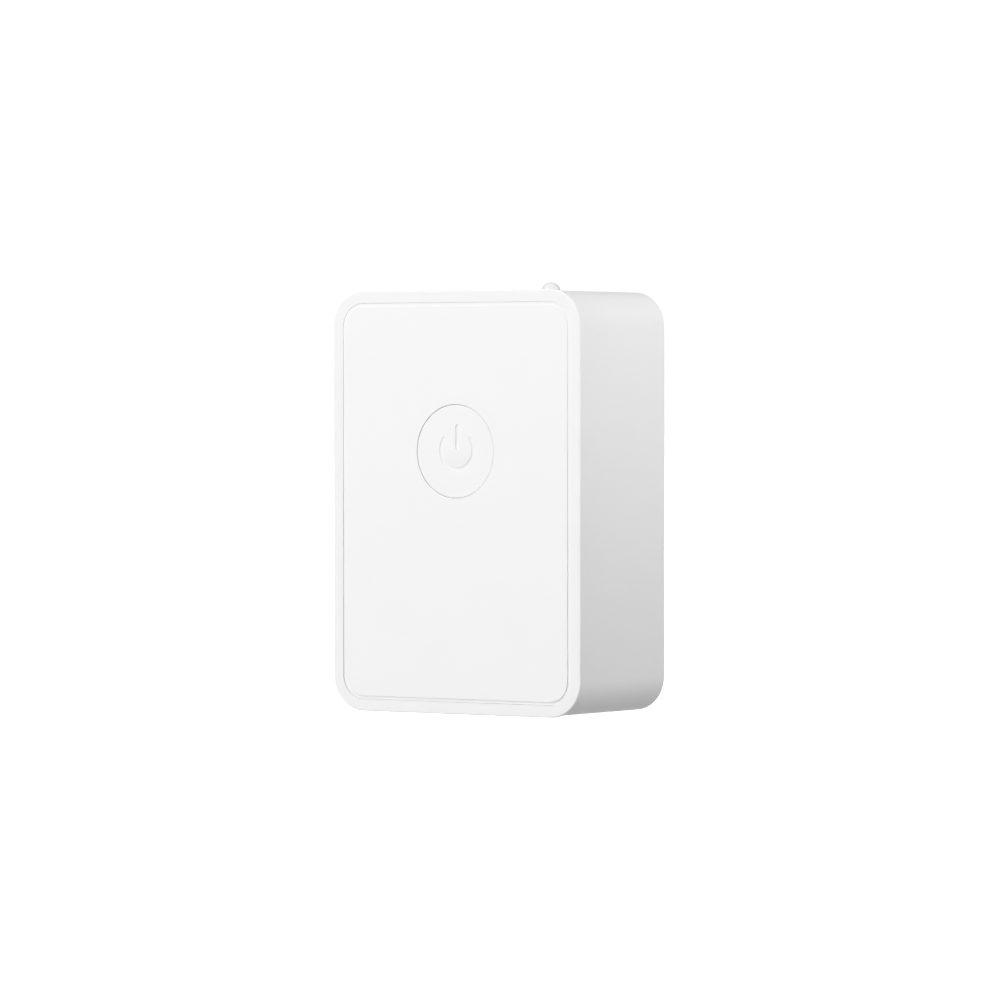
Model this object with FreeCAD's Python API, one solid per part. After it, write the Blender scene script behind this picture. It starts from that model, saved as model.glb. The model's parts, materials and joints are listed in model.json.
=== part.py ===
import FreeCAD, Part
import math
import os

# A plug-through smart plug. Blades on the back go into a wall outlet, and an outlet in the bottom face
# takes the plug of the appliance. A push button on the front works a relay by hand.
# Millimetres. +Z is up, the front faces -Y, and +X is to the right seen from the front.
# The origin is the centre of the housing's flat bottom face.

# ---------------------------------------------------------------- driving dimensions
FRAME_WIDTH = 59.7  # outline of the front frame, the largest outline of the box
FRAME_HEIGHT = 84.0
FRAME_RADIUS = 7.2
DEPTH = 30.7
FRAME_STEP = 0.25  # the frame stands this far proud of the housing's sides
FRAME_EDGE = 0.8  # how much of the frame's thickness shows at the sides
FRAME_ROUNDING = 0.25
FRAME_LAND = 2.4  # width of the frame around the panel
GROOVE = 0.65  # the shallow step round the panel's face
GROOVE_DEPTH = 0.16
PANEL_THICKNESS = 1.0
PANEL_FIT = 0.02  # the panel sits tightly in the frame
PANEL_ROUNDING = 0.06
REAR_ROUNDING = 0.3
FRONT_WALL = 1.6
WALL = 2.0  # side walls and rear cover

BUTTON_RISE = 10.1  # button centre above the middle of the box
BUTTON_RADIUS = 9.25
BUTTON_GAP = 0.08
BUTTON_RECESS = 0.08  # the cap lies this far below the panel's face
SYMBOL_X = 0.5  # the symbol's centre, right of and above the button's
SYMBOL_RISE = 0.25
SYMBOL_RADIUS = 3.9  # centre line of the power symbol's arc
SYMBOL_STROKE = 0.9
RING_DEPTH = 0.1
BAR_DEPTH = 0.2
SYMBOL_OPENING = 56.0  # half of the arc's opening at the top, in degrees
SYMBOL_TOP = 5.05  # top of the symbol's bar above the symbol's centre

LENS_X = 12.5
LENS_RADIUS = 2.0
LENS_RISE = 1.9

BLADE_SPACING = 12.7  # standard two-blade plug with a round earth pin
BLADE_THICKNESS = 1.5
LINE_BLADE_WIDTH = 6.35
NEUTRAL_BLADE_WIDTH = 7.9
BLADE_LENGTH = 17.9
BLADE_HOLE_RADIUS = 1.98
BLADE_HOLE_OUT = 11.7  # hole centre from the wall face
EARTH_OFFSET = 11.9  # earth pin's axis from the line through the blades
EARTH_RADIUS = 2.38
EARTH_SHANK = 2.0  # the pin's thinner stretch inside the casing
EARTH_LENGTH = 21.0
BLADES_Z = 60.0

SLOT_WIDTH = 2.3
LINE_SLOT_LENGTH = 7.0
NEUTRAL_SLOT_LENGTH = 8.6
EARTH_HOLE_RADIUS = 3.1
OUTLET_SLOTS_Y = -5.0
OUTLET_Y = 0.6  # middle of the outlet's insert
OUTLET_WIDTH = 32.0
OUTLET_DEPTH = 22.2
OUTLET_RADIUS = 3.0

BOARD_THICKNESS = 1.6
BOARD_FRONT = -6.0
SHEET = 0.8  # brass strip
FIT = 0.05  # clearance of pieces that sit in each other
GUIDE_X = 14.6  # screws of the button's guide, left and right of the button
COLUMN_INSET = 6.2  # from the walls' outside to the middle of a corner column
LABEL_WIDTH = 38.0
LABEL_HEIGHT = 20.0
LABEL_Z = 24.0
LABEL_RECESS = 0.25
HOLDER_ROOF = 24.0  # top of the boxes round the outlet's contacts
TAB_TOP = HOLDER_ROOF + 0.2  # the contacts' tabs end here, against the straps

# ---------------------------------------------------------------- places worked out from them
FRONT = -DEPTH / 2
REAR = DEPTH / 2
WIDTH = FRAME_WIDTH - 2 * FRAME_STEP
HEIGHT = FRAME_HEIGHT - 2 * FRAME_STEP
RADIUS = FRAME_RADIUS - FRAME_STEP
MIDDLE = HEIGHT / 2
INNER_WIDTH = WIDTH - 2 * WALL
INNER_HEIGHT = HEIGHT - 2 * WALL
INNER_RADIUS = RADIUS - WALL
SLEEVE_FRONT = FRONT + FRAME_EDGE
PANEL_BACK = FRONT + PANEL_THICKNESS
COVER_BACK = PANEL_BACK + FRONT_WALL
COVER_REAR = REAR - WALL
BUTTON_Z = MIDDLE + BUTTON_RISE
CAP_FRONT = FRONT + BUTTON_RECESS
SYMBOL_Z = BUTTON_Z + SYMBOL_RISE
FLANGE_RADIUS = BUTTON_RADIUS + 1.05
BOARD_BACK = BOARD_FRONT + BOARD_THICKNESS
BLADE_X = BLADE_SPACING / 2
EARTH_Z = BLADES_Z - EARTH_OFFSET
OUTLET_EARTH_Y = OUTLET_SLOTS_Y + EARTH_OFFSET
CARRIER_FRONT = 7.5
COLUMN_X = WIDTH / 2 - COLUMN_INSET
COLUMN_Z = (COLUMN_INSET, HEIGHT - COLUMN_INSET)
LEDGE_Z = (33.0, 68.0)
LEDGE_X = 23.9
STRAP_Y = (6.3, 6.3 + SHEET)
SHELF_Z = (TAB_TOP, TAB_TOP + SHEET)  # the straps' level ends on the tabs
RELAY_X = 18.0
RELAY_Z = (38.2, 57.2)
RELAY_FOOT = BOARD_BACK + 2.0

os.makedirs("parts", exist_ok=True)


# ---------------------------------------------------------------- helpers
def vec(x, y, z):
    return FreeCAD.Vector(x, y, z)


def box(x, y, z):
    """A block between the two values given for each axis."""
    size = [high - low for low, high in (x, y, z)]
    return Part.makeBox(size[0], size[1], size[2], vec(x[0], y[0], z[0]))


def rod_x(radius, y, z, span):
    return Part.makeCylinder(radius, span[1] - span[0], vec(span[0], y, z), vec(1, 0, 0))


def rod_y(radius, x, z, span):
    return Part.makeCylinder(radius, span[1] - span[0], vec(x, span[0], z), vec(0, 1, 0))


def rod_z(radius, x, y, span):
    return Part.makeCylinder(radius, span[1] - span[0], vec(x, y, span[0]), vec(0, 0, 1))


def outline(width, height, radius):
    """Closed wire of a rounded rectangle in the XY plane, centred on the origin."""
    w, h = width / 2, height / 2
    s = radius * (1 - math.sqrt(0.5))
    edges = []
    for sx, sy, ex, ey in ((1, 1, -1, 1), (-1, 1, -1, -1), (-1, -1, 1, -1), (1, -1, 1, 1)):
        # the straight side from one corner to the next, then the arc round that next corner
        if sy == ey:
            start, end = vec(sx * (w - radius), sy * h, 0), vec(ex * (w - radius), ey * h, 0)
            after = vec(ex * w, ey * (h - radius), 0)
        else:
            start, end = vec(sx * w, sy * (h - radius), 0), vec(ex * w, ey * (h - radius), 0)
            after = vec(ex * (w - radius), ey * h, 0)
        middle = vec(ex * (w - s), ey * (h - s), 0)
        edges.append(Part.makeLine(start, end))
        edges.append(Part.Arc(end, middle, after).toShape())
    return Part.Wire(edges)


def slab_z(width, depth, radius, z, x=0.0, y=0.0):
    """A rounded plate lying flat, between two heights."""
    plate = Part.Face(outline(width, depth, radius)).extrude(vec(0, 0, z[1] - z[0]))
    plate.translate(vec(x, y, z[0]))
    return plate


def slab_y(width, height, radius, y, x=0.0, z=MIDDLE):
    """A rounded plate standing up, facing the front, between two depths."""
    plate = Part.Face(outline(width, height, radius)).extrude(vec(0, 0, y[1] - y[0]))
    plate.rotate(vec(0, 0, 0), vec(1, 0, 0), 90)
    plate.translate(vec(x, y[1], z))
    return plate


def prism_y(points, y):
    """A solid with a profile of (x, z) points, between two depths."""
    corners = [vec(px, y[0], pz) for px, pz in points]
    wire = Part.makePolygon(corners + corners[:1])
    return Part.Face(wire).extrude(vec(0, y[1] - y[0], 0))


def edges_at_y(shape, y):
    """The edges that lie wholly at one depth."""
    found = []
    for edge in shape.Edges:
        bounds = edge.BoundBox
        if abs(bounds.YMin - y) < 1e-4 and abs(bounds.YMax - y) < 1e-4:
            found.append(edge)
    return found


def edges_at_z(shape, z):
    """The edges that lie wholly at one height."""
    found = []
    for edge in shape.Edges:
        bounds = edge.BoundBox
        if abs(bounds.ZMin - z) < 1e-4 and abs(bounds.ZMax - z) < 1e-4:
            found.append(edge)
    return found


def joined(shapes):
    """One solid from pieces that touch or overlap."""
    whole = shapes[0].fuse(shapes[1:])
    return whole.removeSplitter()


def screw_y(x, z, head, shank, head_y, tip_y):
    """A countersunk screw along Y with a cross recess, its head at the larger depth."""
    cone = Part.makeCone(shank, head, head - shank, vec(x, head_y - (head - shank), z), vec(0, 1, 0))
    body = joined([cone, rod_y(shank, x, z, (tip_y, head_y - (head - shank) + FIT))])
    arm, half = head * 0.55, head * 0.12
    for dx, dz in ((arm, half), (half, arm)):
        slot = box((x - dx, x + dx), (head_y - 0.45, head_y + 1), (z - dz, z + dz))
        body = body.cut(slot)
    return body


def corners(xs, zs):
    return [(x, z) for x in xs for z in zs]


# ---------------------------------------------------------------- casing
def main_housing():
    """The sleeve of the side walls, with corner columns for the cover screws and ledges for the board."""
    outer = slab_y(WIDTH, HEIGHT, RADIUS, (SLEEVE_FRONT, REAR))
    outer = outer.makeFillet(REAR_ROUNDING, edges_at_y(outer, REAR))
    inner = slab_y(INNER_WIDTH, INNER_HEIGHT, INNER_RADIUS, (SLEEVE_FRONT - 1, REAR + 1))
    sleeve = outer.cut(inner)
    extras = []
    for side in (-1, 1):
        for z in COLUMN_Z:
            wall_x = side * (WIDTH / 2 - 1)
            wall_z = 1 if z < MIDDLE else HEIGHT - 1
            span_x = sorted((side * COLUMN_X, wall_x))
            span_z = sorted((z, wall_z))
            extras.append(rod_y(3.0, side * COLUMN_X, z, (-9.5, COVER_REAR)))
            extras.append(box(span_x, (-9.5, COVER_REAR), (z - 1, z + 1)))
            extras.append(box((side * COLUMN_X - 1, side * COLUMN_X + 1), (-9.5, COVER_REAR), span_z))
        for z in LEDGE_Z:
            span_x = sorted((side * 21.6, side * (WIDTH / 2 - 1)))
            extras.append(box(span_x, (-9.4, BOARD_FRONT), (z - 3, z + 3)))
    sleeve = joined([sleeve] + extras)
    for x, z in corners((-COLUMN_X, COLUMN_X), COLUMN_Z):
        sleeve = sleeve.cut(rod_y(1.15, x, z, (1.0, COVER_REAR + 1)))
    for x, z in corners((-LEDGE_X, LEDGE_X), LEDGE_Z):
        sleeve = sleeve.cut(rod_y(0.85, x, z, (-9.0, BOARD_FRONT + 1)))
    sleeve = sleeve.cut(rod_z(LENS_RADIUS + FIT, LENS_X, 0, (HEIGHT - WALL - 1, HEIGHT + 1)))
    width, depth = OUTLET_WIDTH + 2 * FIT, OUTLET_DEPTH + 2 * FIT
    return sleeve.cut(slab_z(width, depth, OUTLET_RADIUS, (-1, WALL + 1), 0, OUTLET_Y))


def front_cover():
    """The frame round the panel, the wall behind the panel and the lip that sits in the sleeve."""
    frame = slab_y(FRAME_WIDTH, FRAME_HEIGHT, FRAME_RADIUS, (FRONT, SLEEVE_FRONT))
    frame = frame.makeFillet(FRAME_ROUNDING, edges_at_y(frame, FRONT))
    fit_width, fit_height = INNER_WIDTH - 2 * FIT, INNER_HEIGHT - 2 * FIT
    wall = slab_y(fit_width, fit_height, INNER_RADIUS - FIT, (FRONT + 0.5, COVER_BACK))
    lip = slab_y(fit_width, fit_height, INNER_RADIUS - FIT, (COVER_BACK - 0.5, COVER_BACK + 2.0))
    hollow = slab_y(fit_width - 2.8, fit_height - 2.8, INNER_RADIUS - 1.4, (COVER_BACK, COVER_BACK + 3))
    cover = joined([frame, wall, lip.cut(hollow)])
    cover = cover.cut(panel_slab(FRAME_LAND, (FRONT - 1, PANEL_BACK)))
    cover = cover.cut(rod_y(FLANGE_RADIUS + 0.5, 0, BUTTON_Z, (FRONT, COVER_BACK + 1)))
    for x in (-GUIDE_X, GUIDE_X):
        boss = rod_y(2.0, x, BUTTON_Z, (COVER_BACK - 0.5, COVER_BACK + 1.2))
        cover = joined([cover, boss])
        cover = cover.cut(rod_y(0.75, x, BUTTON_Z, (COVER_BACK - 0.8, COVER_BACK + 2)))
    return cover


def panel_slab(inset, depth):
    """A slab with the frame's outline, drawn in on all sides."""
    width, height = FRAME_WIDTH - 2 * inset, FRAME_HEIGHT - 2 * inset
    return slab_y(width, height, FRAME_RADIUS - inset, depth)


def front_panel():
    """The plate let into the frame: its face stands above a shallow step and has the button's hole."""
    base = panel_slab(FRAME_LAND + PANEL_FIT, (FRONT + GROOVE_DEPTH, PANEL_BACK))
    face = panel_slab(FRAME_LAND + GROOVE, (FRONT, PANEL_BACK))
    face = face.makeFillet(PANEL_ROUNDING, edges_at_y(face, FRONT))
    hole = rod_y(BUTTON_RADIUS + BUTTON_GAP, 0, BUTTON_Z, (FRONT - 1, PANEL_BACK + 1))
    return joined([base, face]).cut(hole)


def rear_cover():
    """The plate that closes the back, with holes for blades, pin and screws and a recess for the label."""
    width, height = INNER_WIDTH - 2 * FIT, INNER_HEIGHT - 2 * FIT
    plate = slab_y(width, height, INNER_RADIUS - FIT, (COVER_REAR, REAR))
    plate = plate.makeFillet(0.3, edges_at_y(plate, REAR))
    for x, blade_width in ((BLADE_X, LINE_BLADE_WIDTH), (-BLADE_X, NEUTRAL_BLADE_WIDTH)):
        half_x, half_z = BLADE_THICKNESS / 2 + FIT, blade_width / 2 + FIT
        slot_z = (BLADES_Z - half_z, BLADES_Z + half_z)
        plate = plate.cut(box((x - half_x, x + half_x), (COVER_REAR - 1, REAR + 1), slot_z))
    plate = plate.cut(rod_y(EARTH_SHANK + FIT, 0, EARTH_Z, (COVER_REAR - 1, REAR + 1)))
    for x, z in corners((-COLUMN_X, COLUMN_X), COLUMN_Z):
        plate = plate.cut(rod_y(1.3, x, z, (COVER_REAR - 1, REAR + 1)))
        plate = plate.cut(Part.makeCone(1.3, 2.55, 1.25, vec(x, COVER_REAR + 0.5, z), vec(0, 1, 0)))
        plate = plate.cut(rod_y(2.55, x, z, (COVER_REAR + 1.74, REAR + 1)))
    width, height = LABEL_WIDTH + 0.4, LABEL_HEIGHT + 0.4
    return plate.cut(slab_y(width, height, 1.2, (REAR - LABEL_RECESS, REAR + 1), 0, LABEL_Z))


def cover_screws():
    """Four countersunk screws that hold the rear cover to the corner columns."""
    places = corners((-COLUMN_X, COLUMN_X), COLUMN_Z)
    return Part.makeCompound([screw_y(x, z, 2.3, 1.1, COVER_REAR + 1.6, 1.4) for x, z in places])


def rating_label():
    """A blank label in the rear cover's recess."""
    return slab_y(LABEL_WIDTH, LABEL_HEIGHT, 1.0, (REAR - LABEL_RECESS, REAR - 0.1), 0, LABEL_Z)


# ---------------------------------------------------------------- button
def symbol_groove():
    """The cutters of the power symbol: an open ring with round ends and a deeper bar in its opening."""
    half = SYMBOL_STROKE / 2
    ring_y, bar_y = (CAP_FRONT - 1, CAP_FRONT + RING_DEPTH), (CAP_FRONT - 1, CAP_FRONT + BAR_DEPTH)
    through = (CAP_FRONT - 2, CAP_FRONT + 1)
    ring = rod_y(SYMBOL_RADIUS + half, SYMBOL_X, SYMBOL_Z, ring_y)
    ring = ring.cut(rod_y(SYMBOL_RADIUS - half, SYMBOL_X, SYMBOL_Z, through))
    angle = math.radians(SYMBOL_OPENING)
    reach = 2 * SYMBOL_RADIUS
    top, side = SYMBOL_Z + reach, reach * math.tan(angle)
    wedge = prism_y([(SYMBOL_X, SYMBOL_Z), (SYMBOL_X + side, top), (SYMBOL_X - side, top)], through)
    pieces = [ring.cut(wedge)]
    end_z = SYMBOL_Z + SYMBOL_RADIUS * math.cos(angle)
    for sign in (-1, 1):
        end_x = SYMBOL_X + sign * SYMBOL_RADIUS * math.sin(angle)
        pieces.append(rod_y(half, end_x, end_z, ring_y))
    low, high = SYMBOL_Z + half, SYMBOL_Z + SYMBOL_TOP - half
    pieces.append(box((SYMBOL_X - half, SYMBOL_X + half), bar_y, (low, high)))
    pieces.append(rod_y(half, SYMBOL_X, low, bar_y))
    pieces.append(rod_y(half, SYMBOL_X, high, bar_y))
    return pieces


def power_button():
    """The round cap, the flange that keeps it behind the panel, and the stem that presses the switch."""
    cap = rod_y(BUTTON_RADIUS, 0, BUTTON_Z, (CAP_FRONT, FRONT + 1.3))
    cap = cap.makeFillet(0.15, edges_at_y(cap, CAP_FRONT))
    for cutter in symbol_groove():
        cap = cap.cut(cutter)
    flange = rod_y(FLANGE_RADIUS, 0, BUTTON_Z, (FRONT + 1.3, FRONT + 2.1))
    stem = rod_y(2.0, 0, BUTTON_Z, (FRONT + 2.1, -10.45))
    ribs = [
        box((-6, 6), (FRONT + 2.0, FRONT + 2.1), (BUTTON_Z - 0.5, BUTTON_Z + 0.5)),
        box((-0.5, 0.5), (FRONT + 2.0, FRONT + 2.1), (BUTTON_Z - 6, BUTTON_Z + 6)),
    ]
    return joined([cap, flange, stem] + ribs)


def button_guide():
    """The plate behind the button: it holds the button in and guides its stem."""
    front = COVER_BACK + 1.2
    plate = rod_y(12.6, 0, BUTTON_Z, (front, front + 1.0))
    for x in (-GUIDE_X, GUIDE_X):
        ear = rod_y(2.3, x, BUTTON_Z, (front, front + 1.0))
        web_x = sorted((x * 0.75, x))
        web = box(web_x, (front, front + 1.0), (BUTTON_Z - 2.3, BUTTON_Z + 2.3))
        plate = joined([plate, ear, web])
    stop = rod_y(11.6, 0, BUTTON_Z, (COVER_BACK + 0.1, front + 0.1))
    stop = stop.cut(rod_y(8.0, 0, BUTTON_Z, (COVER_BACK, front + 1)))
    plate = joined([plate, stop])
    plate = plate.cut(rod_y(2.3, 0, BUTTON_Z, (front - 1, front + 2)))
    for x in (-GUIDE_X, GUIDE_X):
        plate = plate.cut(rod_y(0.9, x, BUTTON_Z, (front - 1, front + 2)))
    return plate


def guide_screws():
    """Two pan-head screws that fix the guide to the front cover's bosses."""
    seat = COVER_BACK + 2.2
    screws = []
    for x in (-GUIDE_X, GUIDE_X):
        head = rod_y(1.5, x, BUTTON_Z, (seat, seat + 0.9))
        head = head.cut(box((x - 0.9, x + 0.9), (seat + 0.5, seat + 1), (BUTTON_Z - 0.2, BUTTON_Z + 0.2)))
        screws.append(joined([head, rod_y(0.7, x, BUTTON_Z, (COVER_BACK - 0.6, seat + 0.1))]))
    return Part.makeCompound(screws)


def tact_switch_base():
    base = box((-3, 3), (BOARD_FRONT - 3.2, BOARD_FRONT), (BUTTON_Z - 3, BUTTON_Z + 3))
    return base.cut(rod_y(1.9, 0, BUTTON_Z, (BOARD_FRONT - 4, BOARD_FRONT - 1.0)))


def tact_switch_cover():
    """The thin steel plate on the switch, with its four legs through to the board."""
    top = (BOARD_FRONT - 3.4, BOARD_FRONT - 3.2)
    plate = box((-3.2, 3.2), top, (BUTTON_Z - 3.0, BUTTON_Z + 3.0))
    plate = plate.cut(rod_y(1.9, 0, BUTTON_Z, (BOARD_FRONT - 5, BOARD_FRONT - 3)))
    legs = []
    for x in ((-3.2, -3.0), (3.0, 3.2)):
        for z in (-2.4, 1.8):
            legs.append(box(x, (BOARD_FRONT - 3.4, BOARD_FRONT), (BUTTON_Z + z, BUTTON_Z + z + 0.6)))
    return joined([plate] + legs)


def tact_switch_plunger():
    collar = rod_y(1.7, 0, BUTTON_Z, (BOARD_FRONT - 4.4, BOARD_FRONT - 1.4))
    return collar.makeFillet(0.2, edges_at_y(collar, BOARD_FRONT - 4.4))


# ---------------------------------------------------------------- plug side
def blade(x, width):
    """A flat plug blade with cut corners, a thinned tip and the usual round hole."""
    start, tip = CARRIER_FRONT - 0.4, REAR + BLADE_LENGTH
    low, high, corner = BLADES_Z - width / 2, BLADES_Z + width / 2, 0.9
    profile = [
        (start, low), (tip - corner, low), (tip, low + corner),
        (tip, high - corner), (tip - corner, high), (start, high),
    ]
    points = [vec(x - BLADE_THICKNESS / 2, y, z) for y, z in profile]
    body = Part.Face(Part.makePolygon(points + points[:1])).extrude(vec(BLADE_THICKNESS, 0, 0))
    tip_edges = [edge for edge in edges_at_y(body, tip) if edge.Length > 2 * BLADE_THICKNESS]
    body = body.makeChamfer(0.5, tip_edges)
    return body.cut(rod_x(BLADE_HOLE_RADIUS, REAR + BLADE_HOLE_OUT, BLADES_Z, (x - 2, x + 2)))


def ground_pin():
    """The round earth pin with its domed tip and its thinner shank inside the casing."""
    tip = REAR + EARTH_LENGTH
    pin = rod_y(EARTH_RADIUS, 0, EARTH_Z, (REAR, tip))
    pin = pin.makeFillet(1.6, edges_at_y(pin, tip))
    return joined([pin, rod_y(EARTH_SHANK, 0, EARTH_Z, (CARRIER_FRONT - 0.4, REAR))])


def blade_carrier():
    """The insulating block behind the rear cover that holds the blades and the earth pin."""
    depth = (CARRIER_FRONT, COVER_REAR)
    block = slab_y(20.0, 23.0, 2.0, depth, 0, 54.3)
    through = (CARRIER_FRONT - 1, COVER_REAR + 1)
    for x, width in ((BLADE_X, LINE_BLADE_WIDTH), (-BLADE_X, NEUTRAL_BLADE_WIDTH)):
        half_x, half_z = BLADE_THICKNESS / 2 + FIT, width / 2 + FIT
        block = block.cut(box((x - half_x, x + half_x), through, (BLADES_Z - half_z, BLADES_Z + half_z)))
    return block.cut(rod_y(EARTH_SHANK + FIT, 0, EARTH_Z, through))


# ---------------------------------------------------------------- outlet side
def outlet_cut(z):
    """The three openings of the outlet as cutters between two heights."""
    cutters = []
    for x, length in ((BLADE_X, LINE_SLOT_LENGTH), (-BLADE_X, NEUTRAL_SLOT_LENGTH)):
        half_x, half_y, y = SLOT_WIDTH / 2, length / 2, OUTLET_SLOTS_Y
        cutters.append(box((x - half_x, x + half_x), (y - half_y, y + half_y), z))
    radius, y = EARTH_HOLE_RADIUS, OUTLET_EARTH_Y
    cutters.append(rod_z(radius, 0, y, z))
    cutters.append(box((-radius, radius), (y - radius + 0.5, y), z))
    return cutters


def outlet_face():
    """The insert in the bottom face that takes the appliance's plug."""
    insert = slab_z(OUTLET_WIDTH, OUTLET_DEPTH, OUTLET_RADIUS - FIT, (0.1, WALL + 0.8), 0, OUTLET_Y)
    insert = insert.makeFillet(0.3, edges_at_z(insert, 0.1))
    for cutter in outlet_cut((-1, WALL + 2)):
        insert = insert.cut(cutter)
    return insert


def contact_holder(x, y, chamber, tab):
    """An insulating box over one opening of the insert. Its roof has a slit for the contact's tab."""
    half_x, half_y = chamber
    side, floor, ceiling = 0.8, WALL + 0.8, HOLDER_ROOF - 1.2
    outer_x = (x - half_x - side, x + half_x + side)
    outer_y = (y - half_y - side, y + half_y + side)
    block = box(outer_x, outer_y, (floor, HOLDER_ROOF))
    block = block.cut(box((x - half_x, x + half_x), (y - half_y, y + half_y), (floor - 1, ceiling)))
    slit = box((x - tab[0], x + tab[0]), (y - tab[1], y + tab[1]), (ceiling - 1, HOLDER_ROOF + 1))
    return block.cut(slit)


def blade_holder(x):
    return contact_holder(x, OUTLET_SLOTS_Y, (2.6, 4.6), (0.5, 2.05))


def earth_holder():
    return contact_holder(0, OUTLET_EARTH_Y, (3.8, 3.4), (2.05, 0.5))


def contact(x, y, gap, depth, tab):
    """A folded spring contact: two leaves, flared at the mouth, a bridge over them and a tab on top."""
    low, high, thick, flare = 4.2, 21.8, 0.6, 0.7
    half = gap / 2
    outer = half + thick
    profile = [
        (x - half - flare, low), (x - half, low + 2), (x - half, high), (x + half, high),
        (x + half, low + 2), (x + half + flare, low), (x + outer + flare, low), (x + outer, low + 2),
        (x + outer, high + thick), (x - outer, high + thick),
        (x - outer, low + 2), (x - outer - flare, low),
    ]
    leaves = prism_y(profile, (y - depth / 2, y + depth / 2))
    return joined([leaves, box(tab[0], tab[1], (high + thick - 0.1, TAB_TOP))])


def blade_contact(x):
    y = OUTLET_SLOTS_Y
    return contact(x, y, 1.35, 6.4, ((x - 0.4, x + 0.4), (y - 2.0, y + 2.0)))


def ground_contact():
    y = OUTLET_EARTH_Y
    return contact(0, y, 4.5, 5.0, ((-2.0, 2.0), (y - 0.4, y + 0.4)))


# ---------------------------------------------------------------- brass straps
def neutral_strap():
    """From the neutral blade straight down to the neutral contact."""
    x = (-BLADE_X - 2.5, -BLADE_X + 2.5)
    upright = box(x, STRAP_Y, (TAB_TOP, 63.0))
    shelf = box(x, (OUTLET_SLOTS_Y - 2.5, STRAP_Y[1]), SHELF_Z)
    return joined([upright, shelf])


def line_in_strap():
    """From the line blade forward to the board."""
    x = (BLADE_X - 2.2, BLADE_X + 2.2)
    upright = box(x, STRAP_Y, (56.2, 63.0))
    shelf = box(x, (BOARD_BACK, STRAP_Y[1]), (56.2, 57.0))
    return joined([upright, shelf])


def line_out_strap():
    """From the board's switched output down to the line contact."""
    x = (BLADE_X - 2.2, BLADE_X + 2.2)
    top = box(x, (BOARD_BACK, -0.2), (34.0, 34.8))
    upright = box(x, (-1.0, -0.2), (TAB_TOP, 34.8))
    shelf = box(x, (OUTLET_SLOTS_Y - 2.5, -0.2), SHELF_Z)
    return joined([top, upright, shelf])


def earth_strap():
    """From the earth pin straight down to the earth contact."""
    upright = box((-2.5, 2.5), STRAP_Y, (TAB_TOP, 51.0))
    shelf = box((-2.5, 2.5), (STRAP_Y[0], OUTLET_EARTH_Y + 2.5), SHELF_Z)
    return joined([upright, shelf])


# ---------------------------------------------------------------- board and what is on it
def main_board():
    """The printed circuit board, narrowed at the top between the corner columns."""
    depth = (BOARD_FRONT, BOARD_BACK)
    board = joined([box((-26.2, 26.2), depth, (27.0, 73.5)), box((-19.8, 19.8), depth, (73.0, 80.0))])
    for x, z in corners((-LEDGE_X, LEDGE_X), LEDGE_Z):
        board = board.cut(rod_y(1.1, x, z, (BOARD_FRONT - 1, BOARD_BACK + 1)))
    return board


def board_screws():
    """Four pan-head screws that fix the board to the housing's ledges."""
    screws = []
    for x, z in corners((-LEDGE_X, LEDGE_X), LEDGE_Z):
        head = rod_y(1.8, x, z, (BOARD_BACK, BOARD_BACK + 1.2))
        for dx, dz in ((1.1, 0.25), (0.25, 1.1)):
            head = head.cut(box((x - dx, x + dx), (BOARD_BACK + 0.6, BOARD_BACK + 2), (z - dz, z + dz)))
        screws.append(joined([head, rod_y(0.8, x, z, (-8.6, BOARD_BACK + 0.1))]))
    return Part.makeCompound(screws)


def relay_base():
    """The relay's foot, with four pins down to the board."""
    foot = box((RELAY_X - 7.6, RELAY_X + 7.6), (BOARD_BACK + 0.5, RELAY_FOOT), RELAY_Z)
    pins = []
    for x, z in corners((RELAY_X - 5.5, RELAY_X + 5.5), (RELAY_Z[0] + 2, RELAY_Z[1] - 2)):
        pins.append(box((x - 0.5, x + 0.5), (BOARD_BACK, BOARD_BACK + 0.6), (z - 0.5, z + 0.5)))
    return joined([foot] + pins)


def relay_case():
    """The relay's dust cover, a thin open box over the foot."""
    outer = box((RELAY_X - 7.6, RELAY_X + 7.6), (RELAY_FOOT, 11.0), RELAY_Z)
    inner_z = (RELAY_Z[0] + 0.8, RELAY_Z[1] - 0.8)
    return outer.cut(box((RELAY_X - 6.8, RELAY_X + 6.8), (RELAY_FOOT - 1, 10.2), inner_z))


def relay_core():
    """The coil's iron core and the L-shaped yoke round it."""
    z = RELAY_Z[0] + 6.4
    core = rod_y(1.6, RELAY_X - 1.0, z, (RELAY_FOOT + 0.3, 7.6))
    back = box((RELAY_X - 5.0, RELAY_X + 3.0), (RELAY_FOOT, RELAY_FOOT + 1.0), (RELAY_Z[0] + 1.0, z + 4))
    limb = box((RELAY_X - 5.0, RELAY_X + 3.0), (RELAY_FOOT, 8.1), (RELAY_Z[0] + 1.0, RELAY_Z[0] + 2.0))
    return joined([core, back, limb])


def relay_coil():
    """The coil's winding on its bobbin."""
    z = RELAY_Z[0] + 6.4
    span = (RELAY_FOOT + 1.0, 7.0)
    bobbin = [rod_y(3.6, RELAY_X - 1.0, z, (span[0], span[0] + 0.6))]
    bobbin.append(rod_y(3.6, RELAY_X - 1.0, z, (span[1] - 0.6, span[1])))
    bobbin.append(rod_y(3.2, RELAY_X - 1.0, z, span))
    return joined(bobbin).cut(rod_y(1.65, RELAY_X - 1.0, z, (span[0] - 1, span[1] + 1)))


def relay_armature():
    """The hinged iron plate over the core. It turns about its edge on the yoke."""
    return box((RELAY_X - 5.0, RELAY_X + 3.0), (8.2, 9.0), (RELAY_Z[0] + 1.4, RELAY_Z[0] + 11.0))


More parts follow.
